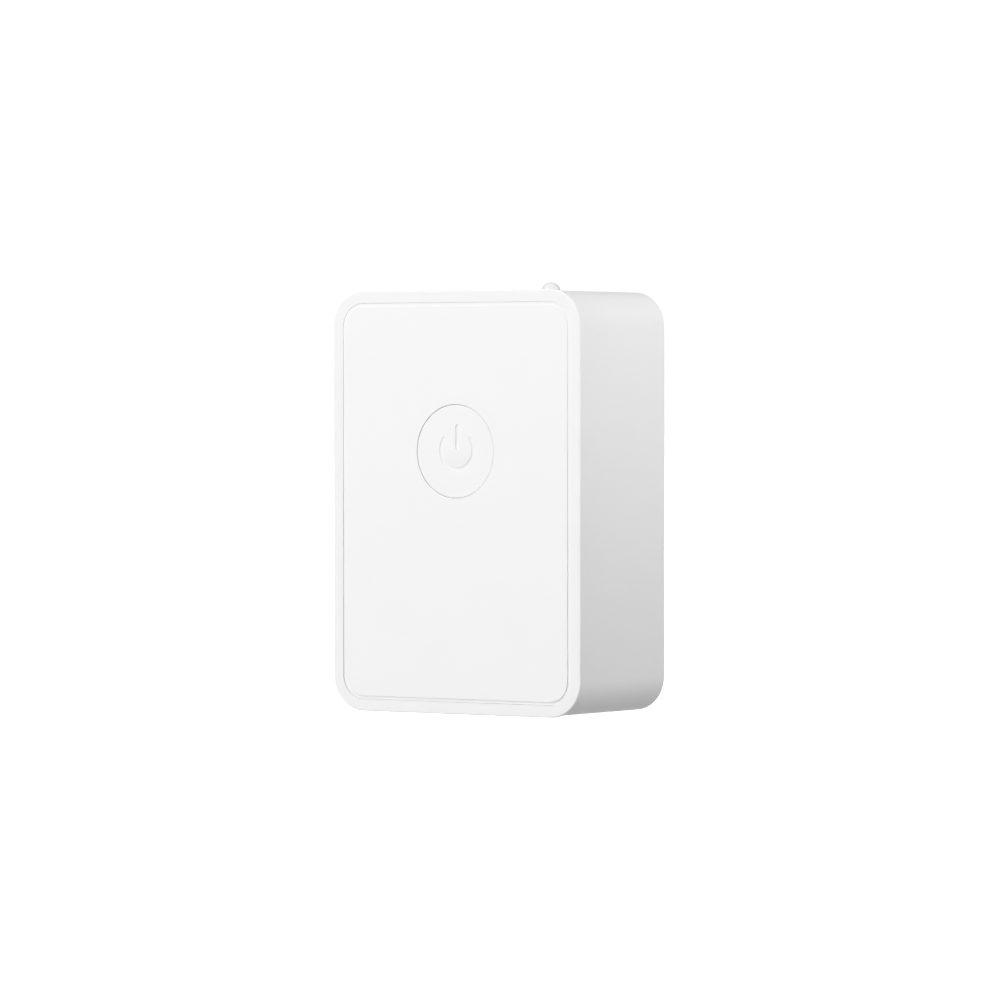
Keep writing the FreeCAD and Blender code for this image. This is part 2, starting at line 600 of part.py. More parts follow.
def relay_moving_contact():
    """The contact leaf on the armature, with its contact rivet."""
    leaf = box((RELAY_X - 3.0, RELAY_X + 1.0), (9.0, 9.3), (RELAY_Z[0] + 5.0, RELAY_Z[0] + 16.0))
    return joined([leaf, rod_y(1.2, RELAY_X - 1.0, RELAY_Z[0] + 14.6, (8.4, 9.1))])


def relay_fixed_contact():
    """The fixed contact on its post, just short of the moving one."""
    z = RELAY_Z[0] + 14.6
    post = box((RELAY_X - 3.0, RELAY_X + 1.0), (RELAY_FOOT, 7.0), (z + 1.0, z + 1.8))
    arm = box((RELAY_X - 3.0, RELAY_X + 1.0), (6.2, 7.0), (z - 1.6, z + 1.8))
    return joined([post, arm, rod_y(1.2, RELAY_X - 1.0, z, (6.9, 7.6))])


def transformer_core():
    """Two ferrite E halves round the winding."""
    x, y, z = (-25.4, -11.8), (BOARD_BACK + 2.0, 6.5), (39.0, 51.6)
    core = box(x, y, z)
    window = ((x[0] + 2.6, x[1] - 2.6), (y[0] + 2.2, y[1] - 2.2))
    core = core.cut(box(window[0], window[1], (z[0] - 1, z[1] + 1)))
    leg_x = (x[0] + x[1]) / 2
    leg = box((leg_x - 1.6, leg_x + 1.6), (y[0] + 2.0, y[1] - 2.0), (z[0] + 1, z[1] - 1))
    return joined([core, leg])


def transformer_winding():
    """The bobbin with its winding, round the middle leg, and its pins."""
    x, y, z = -18.6, (BOARD_BACK + 4.3, 4.2), (38.6, 52.0)
    coil = box((x - 4.1, x + 4.1), y, z)
    coil = coil.cut(box((x - 1.7, x + 1.7), (y[0] - 1, y[1] + 1), (z[0] + 1.3, z[1] - 1.3)))
    feet = []
    for low in (36.6, 52.0):
        feet.append(box((x - 5, x + 5), (BOARD_BACK, y[0] + 2.0), (low, low + 2.0)))
    return joined([coil] + feet)


def can(x, z, radius, height):
    """An electrolytic capacitor standing on the board, with its crimp ring."""
    base = BOARD_BACK
    sleeve = rod_y(radius, x, z, (base, base + height))
    sleeve = sleeve.makeFillet(0.5, edges_at_y(sleeve, base + height))
    ring = rod_y(radius + 1, x, z, (base + 1.4, base + 2.0))
    return sleeve.cut(ring.cut(rod_y(radius - 0.3, x, z, (base + 1, base + 3))))


def film_capacitor():
    block = slab_y(13.0, 6.4, 0.6, (BOARD_BACK, 8.0), -1.0, 70.4)
    return block.makeFillet(0.4, edges_at_y(block, 8.0))


def varistor():
    low, high = 60.0, 63.4
    disc = rod_z(5.0, 19.0, BOARD_BACK + 6.2, (low, high))
    disc = disc.makeFillet(1.2, edges_at_z(disc, low) + edges_at_z(disc, high))
    legs = []
    for x in (16.5, 21.5):
        legs.append(box((x - 0.3, x + 0.3), (BOARD_BACK, BOARD_BACK + 3.0), (61.4, 62.0)))
    return joined([disc] + legs)


def fuse():
    """A small glass fuse lying on the board between its end caps."""
    z, y = 77.0, BOARD_BACK + 2.3
    tube = rod_x(1.6, y, z, (-16.0, -7.0))
    caps = [rod_x(1.9, y, z, (-17.0, -14.6)), rod_x(1.9, y, z, (-8.4, -6.0))]
    legs = [box((x - 0.4, x + 0.4), (BOARD_BACK, y), (z - 0.4, z + 0.4)) for x in (-16.4, -6.6)]
    return joined([tube] + caps + legs)


def filter_inductor():
    """A drum core with its winding, standing on the board."""
    x, z, base = -6.5, 33.0, BOARD_BACK
    drum = [rod_y(3.2, x, z, (base, base + 0.9)), rod_y(2.7, x, z, (base, base + 7.4))]
    drum.append(rod_y(3.2, x, z, (base + 6.5, base + 7.4)))
    return joined(drum)


def chip(x, z, y, legs):
    """A small surface-mounted package on the board's front, with a row of legs on each side."""
    body = box(x, y, z)
    pitch = (z[1] - z[0]) / legs
    pins = []
    for i in range(legs):
        middle = z[0] + pitch * (i + 0.5)
        for side_x in ((x[0] - 0.6, x[0] + 0.1), (x[1] - 0.1, x[1] + 0.6)):
            pins.append(box(side_x, (BOARD_FRONT - 0.2, BOARD_FRONT), (middle - 0.2, middle + 0.2)))
    return joined([body] + pins)


def bridge_rectifier():
    body = box((-20.0, -15.4), (BOARD_BACK, BOARD_BACK + 1.6), (29.6, 33.4))
    return body.makeChamfer(0.3, edges_at_y(body, BOARD_BACK + 1.6))


def current_shunt():
    """A bent strip of resistance alloy on the board's front."""
    z = (36.0, 39.0)
    bar = box((12.0, 22.0), (BOARD_FRONT - 2.6, BOARD_FRONT - 1.8), z)
    feet = [box(x, (BOARD_FRONT - 2.6, BOARD_FRONT), z) for x in ((12.0, 12.8), (21.2, 22.0))]
    return joined([bar] + feet)


def wifi_board():
    return box((-8.0, 8.0), (BOARD_FRONT - 0.8, BOARD_FRONT), (57.0, 80.0))


def wifi_shield():
    """The radio's steel can, an open box on the small board."""
    y = (BOARD_FRONT - 3.0, BOARD_FRONT - 0.8)
    outer = slab_y(13.6, 14.6, 1.0, y, 0, 65.0)
    return outer.cut(slab_y(13.2, 14.2, 0.8, (y[0] + 0.2, y[1] + 1), 0, 65.0))


def status_led():
    """A round lamp standing under the light pipe, on legs bent from the board."""
    body = joined([rod_z(1.5, LENS_X, 0, (72.6, 76.6)), rod_z(1.9, LENS_X, 0, (71.8, 72.7))])
    body = body.makeFillet(1.2, edges_at_z(body, 76.6))
    legs = []
    for x in (LENS_X - 1.27, LENS_X + 1.27):
        legs.append(box((x - 0.25, x + 0.25), (BOARD_BACK, 0.25), (69.8, 70.3)))
        legs.append(box((x - 0.25, x + 0.25), (-0.25, 0.25), (69.8, 71.9)))
    return joined([body] + legs)


def led_lens():
    """The clear light pipe: a domed head over the top face, a flange under the wall, a stub to the lamp."""
    head_bottom = HEIGHT - WALL
    shoulder = HEIGHT + LENS_RISE - LENS_RADIUS
    pipe = [rod_z(LENS_RADIUS, LENS_X, 0, (head_bottom - 0.1, shoulder))]
    pipe.append(rod_z(2.8, LENS_X, 0, (head_bottom - 0.9, head_bottom)))
    pipe.append(rod_z(1.6, LENS_X, 0, (77.2, head_bottom - 0.8)))
    dome = Part.makeSphere(LENS_RADIUS, vec(LENS_X, 0, shoulder), vec(0, 0, 1), 0, 90, 360)
    return joined(pipe + [dome])


# ---------------------------------------------------------------- build
PIECES = {
    "main_housing": main_housing(),
    "front_cover": front_cover(),
    "front_panel": front_panel(),
    "rear_cover": rear_cover(),
    "cover_screws": cover_screws(),
    "rating_label": rating_label(),
    "power_button": power_button(),
    "button_guide": button_guide(),
    "guide_screws": guide_screws(),
    "tact_switch_base": tact_switch_base(),
    "tact_switch_cover": tact_switch_cover(),
    "tact_switch_plunger": tact_switch_plunger(),
    "line_blade": blade(BLADE_X, LINE_BLADE_WIDTH),
    "neutral_blade": blade(-BLADE_X, NEUTRAL_BLADE_WIDTH),
    "ground_pin": ground_pin(),
    "blade_carrier": blade_carrier(),
    "outlet_face": outlet_face(),
    "line_holder": blade_holder(BLADE_X),
    "neutral_holder": blade_holder(-BLADE_X),
    "earth_holder": earth_holder(),
    "line_contact": blade_contact(BLADE_X),
    "neutral_contact": blade_contact(-BLADE_X),
    "ground_contact": ground_contact(),
    "neutral_strap": neutral_strap(),
    "line_in_strap": line_in_strap(),
    "line_out_strap": line_out_strap(),
    "earth_strap": earth_strap(),
    "main_board": main_board(),
    "board_screws": board_screws(),
    "relay_base": relay_base(),
    "relay_case": relay_case(),
    "relay_core": relay_core(),
    "relay_coil": relay_coil(),
    "relay_armature": relay_armature(),
    "relay_moving_contact": relay_moving_contact(),
    "relay_fixed_contact": relay_fixed_contact(),
    "transformer_core": transformer_core(),
    "transformer_winding": transformer_winding(),
    "bulk_capacitor": can(-18.5, 60.4, 4.6, 13.0),
    "output_capacitor": can(15.5, 32.0, 2.6, 8.0),
    "film_capacitor": film_capacitor(),
    "varistor": varistor(),
    "fuse": fuse(),
    "filter_inductor": filter_inductor(),
    "bridge_rectifier": bridge_rectifier(),
    "power_controller": chip((-17.0, -13.0), (42.0, 47.0), (BOARD_FRONT - 1.5, BOARD_FRONT), 4),
    "meter_chip": chip((12.0, 16.0), (43.0, 49.0), (BOARD_FRONT - 1.4, BOARD_FRONT), 6),
    "current_shunt": current_shunt(),
    "wifi_board": wifi_board(),
    "wifi_shield": wifi_shield(),
    "status_led": status_led(),
    "led_lens": led_lens(),
}

for name, shape in PIECES.items():
    shape.exportStep("parts/" + name + ".step")
    print(name, len(shape.Solids), round(shape.Volume, 2), shape.isValid())
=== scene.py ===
import json
import math

import bmesh
import bpy
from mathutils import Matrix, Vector


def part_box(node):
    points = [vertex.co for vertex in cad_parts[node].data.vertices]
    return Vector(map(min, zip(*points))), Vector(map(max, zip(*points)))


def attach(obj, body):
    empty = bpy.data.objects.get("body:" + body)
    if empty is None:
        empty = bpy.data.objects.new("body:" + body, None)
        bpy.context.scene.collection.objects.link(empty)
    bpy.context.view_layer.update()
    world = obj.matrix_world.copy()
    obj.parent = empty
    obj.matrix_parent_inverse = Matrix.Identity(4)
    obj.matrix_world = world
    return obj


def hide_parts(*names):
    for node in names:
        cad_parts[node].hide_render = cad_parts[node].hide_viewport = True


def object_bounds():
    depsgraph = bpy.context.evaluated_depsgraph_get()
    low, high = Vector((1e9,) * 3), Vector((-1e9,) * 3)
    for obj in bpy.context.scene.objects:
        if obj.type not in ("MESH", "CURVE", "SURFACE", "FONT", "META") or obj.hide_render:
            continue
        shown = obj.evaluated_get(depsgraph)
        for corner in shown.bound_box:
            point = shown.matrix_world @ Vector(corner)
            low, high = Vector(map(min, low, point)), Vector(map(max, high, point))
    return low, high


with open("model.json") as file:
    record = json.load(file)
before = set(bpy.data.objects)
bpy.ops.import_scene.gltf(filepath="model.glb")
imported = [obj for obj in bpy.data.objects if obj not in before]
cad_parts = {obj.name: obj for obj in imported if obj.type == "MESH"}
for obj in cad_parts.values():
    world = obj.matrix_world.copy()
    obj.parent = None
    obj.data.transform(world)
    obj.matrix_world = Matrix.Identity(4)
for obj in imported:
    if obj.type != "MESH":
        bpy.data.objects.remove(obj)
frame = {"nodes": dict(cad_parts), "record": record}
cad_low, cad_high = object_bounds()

MM = 0.001
TINY = 1e-4  # millimetres; smaller differences are rounding

# ------------------------------ places, in millimetres, read from the frame where it has them


def span(node):
    """The lowest and highest corner of a CAD node, in millimetres."""
    low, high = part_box(node)
    return low / MM, high / MM


cover_low, cover_high = span("front_cover")
housing_low, housing_high = span("main_housing")
panel_low, panel_high = span("front_panel")
button_low, button_high = span("power_button")
plate_low, plate_high = span("rear_cover")
label_low, label_high = span("rating_label")
insert_low, insert_high = span("outlet_face")
lens_low, lens_high = span("led_lens")
pin_low, pin_high = span("ground_pin")
screws_low, screws_high = span("cover_screws")
board_low = span("main_board")[0]

FRONT = cover_low.y
REAR = housing_high.y
SLEEVE_FRONT = housing_low.y
BASE = housing_low.z
HEIGHT = housing_high.z
MIDDLE = (BASE + HEIGHT) / 2
WIDTH = housing_high.x - housing_low.x
FRAME_WIDTH = cover_high.x - cover_low.x
FRAME_HEIGHT = cover_high.z - cover_low.z
FRAME_RADIUS = 7.2
FRAME_STEP = (FRAME_WIDTH - WIDTH) / 2  # from the frame's edge in to the sleeve
RADIUS = FRAME_RADIUS - FRAME_STEP
LAND = 2.4
GROOVE = 0.65  # width of the step between the land and the panel's face
GROOVE_DEPTH = 0.16
GAP_BELOW = 0.03  # added to the fine gap under the panel
STEP_LEAN = 0.6  # share of its depth that the step loses at the top and gains at the bottom
PANEL_INSET = panel_low.x - cover_low.x
PANEL_BACK = panel_high.y
COVER_BACK = PANEL_BACK + 1.6
LIP_BACK = COVER_BACK + 2.0  # of the cover's lip inside the sleeve
LIP = 1.4
WALL = 2.0
FIT = 0.05

BUTTON_Z = (button_low.z + button_high.z) / 2
BUTTON_RADIUS = 9.25
BUTTON_HOLE = 9.31
CAP_FRONT = button_low.y
FLANGE_RADIUS = (button_high.x - button_low.x) / 2
FLANGE_FRONT = FRONT + 1.3
FLANGE_BACK = FRONT + 2.1
FLANGE_ROOM = 0.5  # between the flange and the cover's bore
STEM_RADIUS = 2.0
GUIDE_X = 14.6  # bosses for the screws of the button's guide
BOSS_RADIUS = 2.0
BOSS_BORE = 0.75
SYMBOL_CENTRE = (0.5, BUTTON_Z + 0.25)
SYMBOL_RADIUS = 3.9
SYMBOL_HALF = 0.45
RING_DEPTH = 0.1
BAR_DEPTH = 0.2
SYMBOL_OPENING = 56.0
SYMBOL_TOP = 5.05

LENS_X = (lens_low.x + lens_high.x) / 2
LENS_RADIUS = 2.0
LENS_STUB = 1.6
LENS_FLANGE = 2.8
LENS_FLANGE_HEIGHT = 0.9
BLADES_Z = 60.0
BLADE_CORNER = 0.9
BLADE_HOLE_RADIUS = 1.98
BLADE_HOLE_OUT = 11.7
PIN_Z = (pin_low.z + pin_high.z) / 2
PIN_RADIUS = (pin_high.z - pin_low.z) / 2
PIN_DOME = 1.6
SHANK_RADIUS = 2.0
OUTLET_Y = (insert_low.y + insert_high.y) / 2
OUTLET_RADIUS = 3.0  # corners of the outlet's hole in the wall
SLOTS_Y = -5.0
SLOT_WIDTH = 2.3
LINE_SLOT_LENGTH = 7.0
NEUTRAL_SLOT_LENGTH = 8.6
EARTH_Y = 6.9
EARTH_HOLE_RADIUS = 3.1
EARTH_FLAT = 2.6  # from the earth opening's middle to its squared side

COLUMN_INSET = 6.2  # from the walls' outside to the middle of a corner column
COLUMN_RADIUS = 3.0
COLUMN_FRONT = -9.5
COLUMN_REAR = plate_low.y
COLUMN_BORE = 1.15
COLUMN_BORE_FRONT = 1.0
WEB_HALF = 1.0
SCREW_X = WIDTH / 2 - COLUMN_INSET
SCREW_Z = (COLUMN_INSET, HEIGHT - COLUMN_INSET)
SCREW_HEAD = 2.3
SCREW_SHAFT = 1.1
SCREW_TIP = 0.6
HEAD_HOLE = 2.55
SHAFT_HOLE = 1.3
LEDGE_Z = (33.0, 68.0)
LEDGE_X = 23.9  # middle of a ledge's bore
LEDGE_INNER = 21.6
LEDGE_HALF = 3.0
LEDGE_FRONT = -9.4
LEDGE_BORE = 0.85
LEDGE_BORE_FRONT = -9.0
BOARD_FRONT = board_low.y


# ------------------------------ outlines: lists of (a, b), grown outwards by any amount
def arc(radius, start, end, steps, centre=(0.0, 0.0)):
    """Points along an arc from one angle to another, in degrees, both ends included."""
    points = []
    for i in range(steps + 1):
        angle = math.radians(start + (end - start) * i / steps)
        points.append((centre[0] + radius * math.cos(angle), centre[1] + radius * math.sin(angle)))
    return points


def rounded(width, height, radius, centre=(0.0, 0.0), steps=16):
    """A rounded rectangle. It starts on the right side and goes round over the top."""

    def outline(grow):
        half_w, half_h = width / 2 + grow, height / 2 + grow
        r = max(radius + grow, 0.02)
        points = []
        for quarter, (sx, sy) in enumerate(((1, 1), (-1, 1), (-1, -1), (1, -1))):
            corner = (centre[0] + sx * (half_w - r), centre[1] + sy * (half_h - r))
            points += arc(r, 90 * quarter, 90 * quarter + 90, steps, corner)
        return points

    return outline


def circle(radius, centre=(0.0, 0.0), steps=96):
    """A full circle."""
    return lambda grow: arc(radius + grow, 0, 360, steps, centre)[:-1]


def open_ring(centre):
    """The symbol's open ring with round ends, its opening at the top."""
    first, last = 90 - SYMBOL_OPENING, -270 + SYMBOL_OPENING
    ends = [arc(SYMBOL_RADIUS, angle, angle, 1, centre)[0] for angle in (first, last)]

    def outline(grow):
        half = SYMBOL_HALF + grow
        points = arc(SYMBOL_RADIUS + half, first, last, 72, centre)
        points += arc(half, last, last - 180, 12, ends[1])[1:-1]
        points += arc(SYMBOL_RADIUS - half, last, first, 72, centre)
        points += arc(half, first + 180, first, 12, ends[0])[1:-1]
        return points

    return outline


def bar(low, high, centre):
    """An upright bar with round ends."""

    def outline(grow):
        half = SYMBOL_HALF + grow
        x, z = centre
        return arc(half, 0, 180, 12, (x, z + high)) + arc(half, 180, 360, 12, (x, z + low))

    return outline


def cross(reach, half, centre):
    """The outline of a cross recess."""

    def outline(grow):
        r, h = reach + grow, half + grow
        points = []
        for dx, dy in ((1, 0), (0, 1), (-1, 0), (0, -1)):
            for along, aside in ((r, -h), (r, h), (h, h)):
                a, b = dx * along - dy * aside, dy * along + dx * aside
                points.append((centre[0] + a, centre[1] + b))
        return points

    return outline


def earth_opening(centre):
    """A round opening whose side towards the slots is squared off."""

    def outline(grow):
        radius, flat = EARTH_HOLE_RADIUS + grow, EARTH_FLAT + grow
        reach = math.degrees(math.asin(flat / radius))
        points = arc(radius, 0, 180, 32, centre)
        points.append((centre[0] - radius, centre[1] - flat))
        points += arc(radius, 180 + reach, 360 - reach, 16, centre)
        points.append((centre[0] + radius, centre[1] - flat))
        return points

    return outline


def rounding(start, corner, end, steps=4):
    """Profile points that round off a corner between two points of the profile."""
    points = []
    for i in range(steps + 1):
        angle = math.pi / 2 * i / steps
        near, far = 1 - math.sin(angle), 1 - math.cos(angle)
        points.append(tuple(
            corner[k] + (start[k] - corner[k]) * near + (end[k] - corner[k]) * far for k in (0, 1)
        ))
    return points


# ------------------------------ closed meshes from rings
def facing_front(a, b, depth):
    """Places an outline's point in a plane seen from the front."""
    return (a, depth, b)


def stepped(a, b, depth):
    """As facing_front, with the step round the panel shallower at the top and deeper at the bottom."""
    below = (MIDDLE - b) / (HEIGHT / 2)
    if depth < FRONT + GROOVE_DEPTH + TINY:
        depth = FRONT + (depth - FRONT) * (1 + STEP_LEAN * below)
    return (a, depth, b)


def lying(a, b, height):
    """Places it in a level plane."""
    return (a, b, height)


def upright_side(a, b, x):
    """Places it in a plane seen from the side."""
    return (x, a, b)


class Shell:
    """A closed mesh put together from rings of points."""

    def __init__(self, place):
        self.bm = bmesh.new()
        self.place = place

    def ring(self, outline, grow, depth):
        return [self.bm.verts.new(Vector(self.place(a, b, depth)) * MM) for a, b in outline(grow)]

    def band(self, first, second, skip=()):
        count = len(first)
        for i in range(count):
            if i not in skip:
                j = (i + 1) % count
                self.bm.faces.new((first[i], first[j], second[j], second[i]))

    def loft(self, outline, profile):
        """Bands through the profile's (grow, depth) points. Returns the first and the last ring."""
        rings = [self.ring(outline, grow, depth) for grow, depth in profile]
        for first, second in zip(rings, rings[1:]):
            self.band(first, second)
        return rings[0], rings[-1]

    def fill(self, *loops):
        """A flat face inside the first loop and outside the others."""
        edges = []
        for loop in loops:
            for first, second in zip(loop, loop[1:] + loop[:1]):
                edges.append(self.bm.edges.get((first, second)) or self.bm.edges.new((first, second)))
        bmesh.ops.triangle_fill(self.bm, use_beauty=True, edges=edges)

    def plug(self, outline, profile):
        """A blind recess or a boss: its first ring is open, and its last is closed."""
        first, last = self.loft(outline, profile)
        self.fill(last)
        return first

    def solid(self, outline, profile):
        """A solid closed at both ends of its profile."""
        first, last = self.loft(outline, profile)
        self.fill(first)
        self.fill(last)

    def revolve(self, profile, place, steps=64):
        """A solid of revolution from (radius, height) points, closed where the radius is zero."""
        rings = []
        for radius, height in profile:
            points = [(0, 0)] if radius < TINY else arc(radius, 0, 360, steps)[:-1]
            rings.append([self.bm.verts.new(Vector(place(a, b, height)) * MM) for a, b in points])
        for first, second in zip(rings, rings[1:]):
            if len(first) == 1 or len(second) == 1:
                tip, rim = (first[0], second) if len(first) == 1 else (second[0], first)
                for i in range(steps):
                    self.bm.faces.new((tip, rim[i], rim[(i + 1) % steps]))
            else:
                self.band(first, second)

    def piece(self, name, body, slot, *nodes, sharp=32.0):
        """Makes the object: it rides on the body and stands for the CAD nodes."""
        bmesh.ops.recalc_face_normals(self.bm, faces=self.bm.faces)
        mesh = bpy.data.meshes.new(name)
        self.bm.to_mesh(mesh)
        self.bm.free()
        mesh.polygons.foreach_set("use_smooth", [True] * len(mesh.polygons))
        mesh.set_sharp_from_angle(angle=math.radians(sharp))
        mesh.materials.append(MATERIALS[slot])
        obj = bpy.data.objects.new(name, mesh)
        bpy.context.scene.collection.objects.link(obj)
        normals = obj.modifiers.new("weighted_normals", "WEIGHTED_NORMAL")
        normals.keep_sharp = True
        normals.weight = 50
        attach(obj, body)
        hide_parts(*nodes)
        return obj


# ------------------------------ materials
FLOW_MARKS = 14.0  # millimetres across
GLOSS_PATCHES = 3.0
WAVE_PERIOD = 0.314  # of a wave texture whose scale is 1
TRACK_PITCH = 0.9
BOARD_PATCH = 7
VIA_PITCH = 2.6


def new_material(name):
    """The material, its nodes and links, and its shader."""
    material = bpy.data.materials.new(name)
    material.use_nodes = True
    tree = material.node_tree
    return material, tree.nodes, tree.links, tree.nodes["Principled BSDF"]


def noise(nodes, links, size, detail=3.0, kind="noise"):
    """A texture whose features are about this many millimetres across."""
    coord = nodes.new("ShaderNodeTexCoord")
    texture = nodes.new("ShaderNodeTexVoronoi" if kind == "cells" else "ShaderNodeTexNoise")
    texture.inputs["Scale"].default_value = 1.0 / (size * MM)
    if kind != "cells":
        texture.inputs["Detail"].default_value = detail
    links.new(coord.outputs["Object"], texture.inputs["Vector"])
    return texture.outputs["Distance" if kind == "cells" else "Fac"]


def ramp(nodes, links, source, low, high, low_at=0.3, high_at=0.7):
    """The source spread between two values."""
    spread = nodes.new("ShaderNodeMapRange")
    spread.inputs["From Min"].default_value = low_at
    spread.inputs["From Max"].default_value = high_at
    spread.inputs["To Min"].default_value = low
    spread.inputs["To Max"].default_value = high
    links.new(source, spread.inputs["Value"])
    return spread.outputs["Result"]


def two_tone(nodes, links, source, first, second, low_at=0.35, high_at=0.65):
    """The source as a blend of two colours."""
    colours = nodes.new("ShaderNodeValToRGB")
    colours.color_ramp.elements[0].position = low_at
    colours.color_ramp.elements[1].position = high_at
    colours.color_ramp.elements[0].color = (*first, 1)
    colours.color_ramp.elements[1].color = (*second, 1)
    links.new(source, colours.inputs["Fac"])
    return colours.outputs["Color"]


def bumped(nodes, links, shader, layers):
    """Bump layers of (height, depth in millimetres, strength), one on top of the other."""
    previous = None
    for height, depth, strength in layers:
        bump = nodes.new("ShaderNodeBump")
        bump.inputs["Distance"].default_value = depth * MM
        bump.inputs["Strength"].default_value = strength
        links.new(height, bump.inputs["Height"])
        if previous is not None:
            links.new(previous, bump.inputs["Normal"])
        previous = bump.outputs["Normal"]
    links.new(previous, shader.inputs["Normal"])


def moulded(name, colour, roughness, grain=0.30, grain_depth=0.006, tone=0.012):
    """Moulded plastic: spark-eroded grain, faint flow marks and slightly uneven gloss."""
    material, nodes, links, shader = new_material(name)
    lighter = tuple(min(1.0, c * (1 + tone)) for c in colour)
    darker = tuple(c * (1 - tone) for c in colour)
    cloud = noise(nodes, links, FLOW_MARKS, 4.0)
    links.new(two_tone(nodes, links, cloud, darker, lighter), shader.inputs["Base Color"])
    fine = noise(nodes, links, grain, 2.0)
    patches = noise(nodes, links, GLOSS_PATCHES, 5.0)
    gloss = ramp(nodes, links, patches, roughness - 0.05, roughness + 0.05)
    links.new(gloss, shader.inputs["Roughness"])
    pits = noise(nodes, links, grain * 2.2, kind="cells")
    bumped(nodes, links, shader, [(fine, grain_depth, 0.5), (pits, grain_depth * 0.7, 0.35)])
    return material


def metal(name, colour, roughness, brushed=(1.0, 1.0, 1.0), tone=0.06, depth=0.004, specks=0.5):
    """Plated or bare metal: rolling lines, uneven gloss and a little tarnish."""
    material, nodes, links, shader = new_material(name)
    shader.inputs["Metallic"].default_value = 1.0
    cloud = noise(nodes, links, 2.5, 6.0)
    darker = tuple(c * (1 - 3 * tone) for c in colour)
    links.new(two_tone(nodes, links, cloud, darker, colour, 0.25, 0.6), shader.inputs["Base Color"])
    coord = nodes.new("ShaderNodeTexCoord")
    stretch = nodes.new("ShaderNodeMapping")
    stretch.inputs["Scale"].default_value = brushed
    links.new(coord.outputs["Object"], stretch.inputs["Vector"])
    lines = nodes.new("ShaderNodeTexNoise")
    lines.inputs["Scale"].default_value = 1.0 / (specks * MM)
    lines.inputs["Detail"].default_value = 4.0
    links.new(stretch.outputs["Vector"], lines.inputs["Vector"])
    gloss = ramp(nodes, links, lines.outputs["Fac"], roughness - 0.07, roughness + 0.1)
    links.new(gloss, shader.inputs["Roughness"])
    bumped(nodes, links, shader, [(lines.outputs["Fac"], depth, 0.4)])
    return material


def clear(name, colour, roughness, ior, transmission=1.0):
    """Clear moulded plastic, glass or resin, with faint flow lines in its surface."""
    material, nodes, links, shader = new_material(name)
    shader.inputs["Transmission Weight"].default_value = transmission
    shader.inputs["IOR"].default_value = ior
    haze = noise(nodes, links, 1.2, 4.0)
    darker = tuple(c * 0.985 for c in colour)
    links.new(two_tone(nodes, links, haze, darker, colour), shader.inputs["Base Color"])
    links.new(ramp(nodes, links, haze, roughness, roughness + 0.03), shader.inputs["Roughness"])
    bumped(nodes, links, shader, [(noise(nodes, links, 0.9, 2.0), 0.002, 0.2)])
    return material


def circuit(name):
    """Solder mask over copper: patches of fine tracks one way or the other, and tinned vias."""
    material, nodes, links, shader = new_material(name)
    coord = nodes.new("ShaderNodeTexCoord")
    patches = nodes.new("ShaderNodeTexVoronoi")
    patches.distance = "CHEBYCHEV"
    patches.inputs["Scale"].default_value = 1.0 / (BOARD_PATCH * MM)
    links.new(coord.outputs["Object"], patches.inputs["Vector"])
    patch = nodes.new("ShaderNodeSeparateColor")
    links.new(patches.outputs["Color"], patch.inputs["Color"])
    tracks = nodes.new("ShaderNodeMix")
    links.new(ramp(nodes, links, patch.outputs["Red"], 0, 1, 0.49, 0.51), tracks.inputs["Factor"])
    for direction, socket in (("X", "A"), ("Z", "B")):
        rows = nodes.new("ShaderNodeTexWave")
        rows.bands_direction = direction
        rows.inputs["Scale"].default_value = WAVE_PERIOD / (TRACK_PITCH * MM)
        links.new(coord.outputs["Object"], rows.inputs["Vector"])
        links.new(rows.outputs["Fac"], tracks.inputs[socket])
    copper = ramp(nodes, links, tracks.outputs["Result"], 0, 1, 0.42, 0.58)
    mask = two_tone(nodes, links, copper, (0.010, 0.085, 0.038), (0.020, 0.165, 0.072), 0.2, 0.8)
    vias = ramp(nodes, links, noise(nodes, links, VIA_PITCH, kind="cells"), 1, 0, 0.10, 0.13)
    tinned = nodes.new("ShaderNodeMixRGB")
    tinned.inputs["Color2"].default_value = (0.55, 0.54, 0.50, 1)
    links.new(vias, tinned.inputs["Fac"])
    links.new(mask, tinned.inputs["Color1"])
    links.new(tinned.outputs["Color"], shader.inputs["Base Color"])
    weave = noise(nodes, links, 0.5, 2.0)
    links.new(ramp(nodes, links, weave, 0.28, 0.42), shader.inputs["Roughness"])
    bumped(nodes, links, shader, [(copper, 0.03, 0.5), (vias, 0.03, 0.4), (weave, 0.006, 0.3)])
    return material


def wound(name, colour, pitch, direction="Y", roughness=0.35, metallic=0.0):
    """Turns of wire or tape side by side, with painted shade darkening the grooves between turns."""
    material, nodes, links, shader = new_material(name)
    shader.inputs["Metallic"].default_value = metallic
    coord = nodes.new("ShaderNodeTexCoord")
    turns = nodes.new("ShaderNodeTexWave")
    turns.bands_direction = direction
    turns.inputs["Scale"].default_value = WAVE_PERIOD / (pitch * MM)
    turns.inputs["Distortion"].default_value = 0.6
    turns.inputs["Detail"].default_value = 1.0
    links.new(coord.outputs["Object"], turns.inputs["Vector"])
    # painted shade: the colour drops to under half in bands where the grooves between turns would lie in
    # shade
    darker = tuple(c * 0.45 for c in colour)
    turns_with_painted_shade = two_tone(nodes, links, turns.outputs["Fac"], darker, colour, 0.1, 0.6)
    links.new(turns_with_painted_shade, shader.inputs["Base Color"])
    gloss = ramp(nodes, links, noise(nodes, links, 0.8), roughness - 0.05, roughness + 0.1)
    links.new(gloss, shader.inputs["Roughness"])
    bumped(nodes, links, shader, [(turns.outputs["Fac"], pitch * 0.4, 0.6)])
    return material


WHITE = (0.875, 0.875, 0.875)

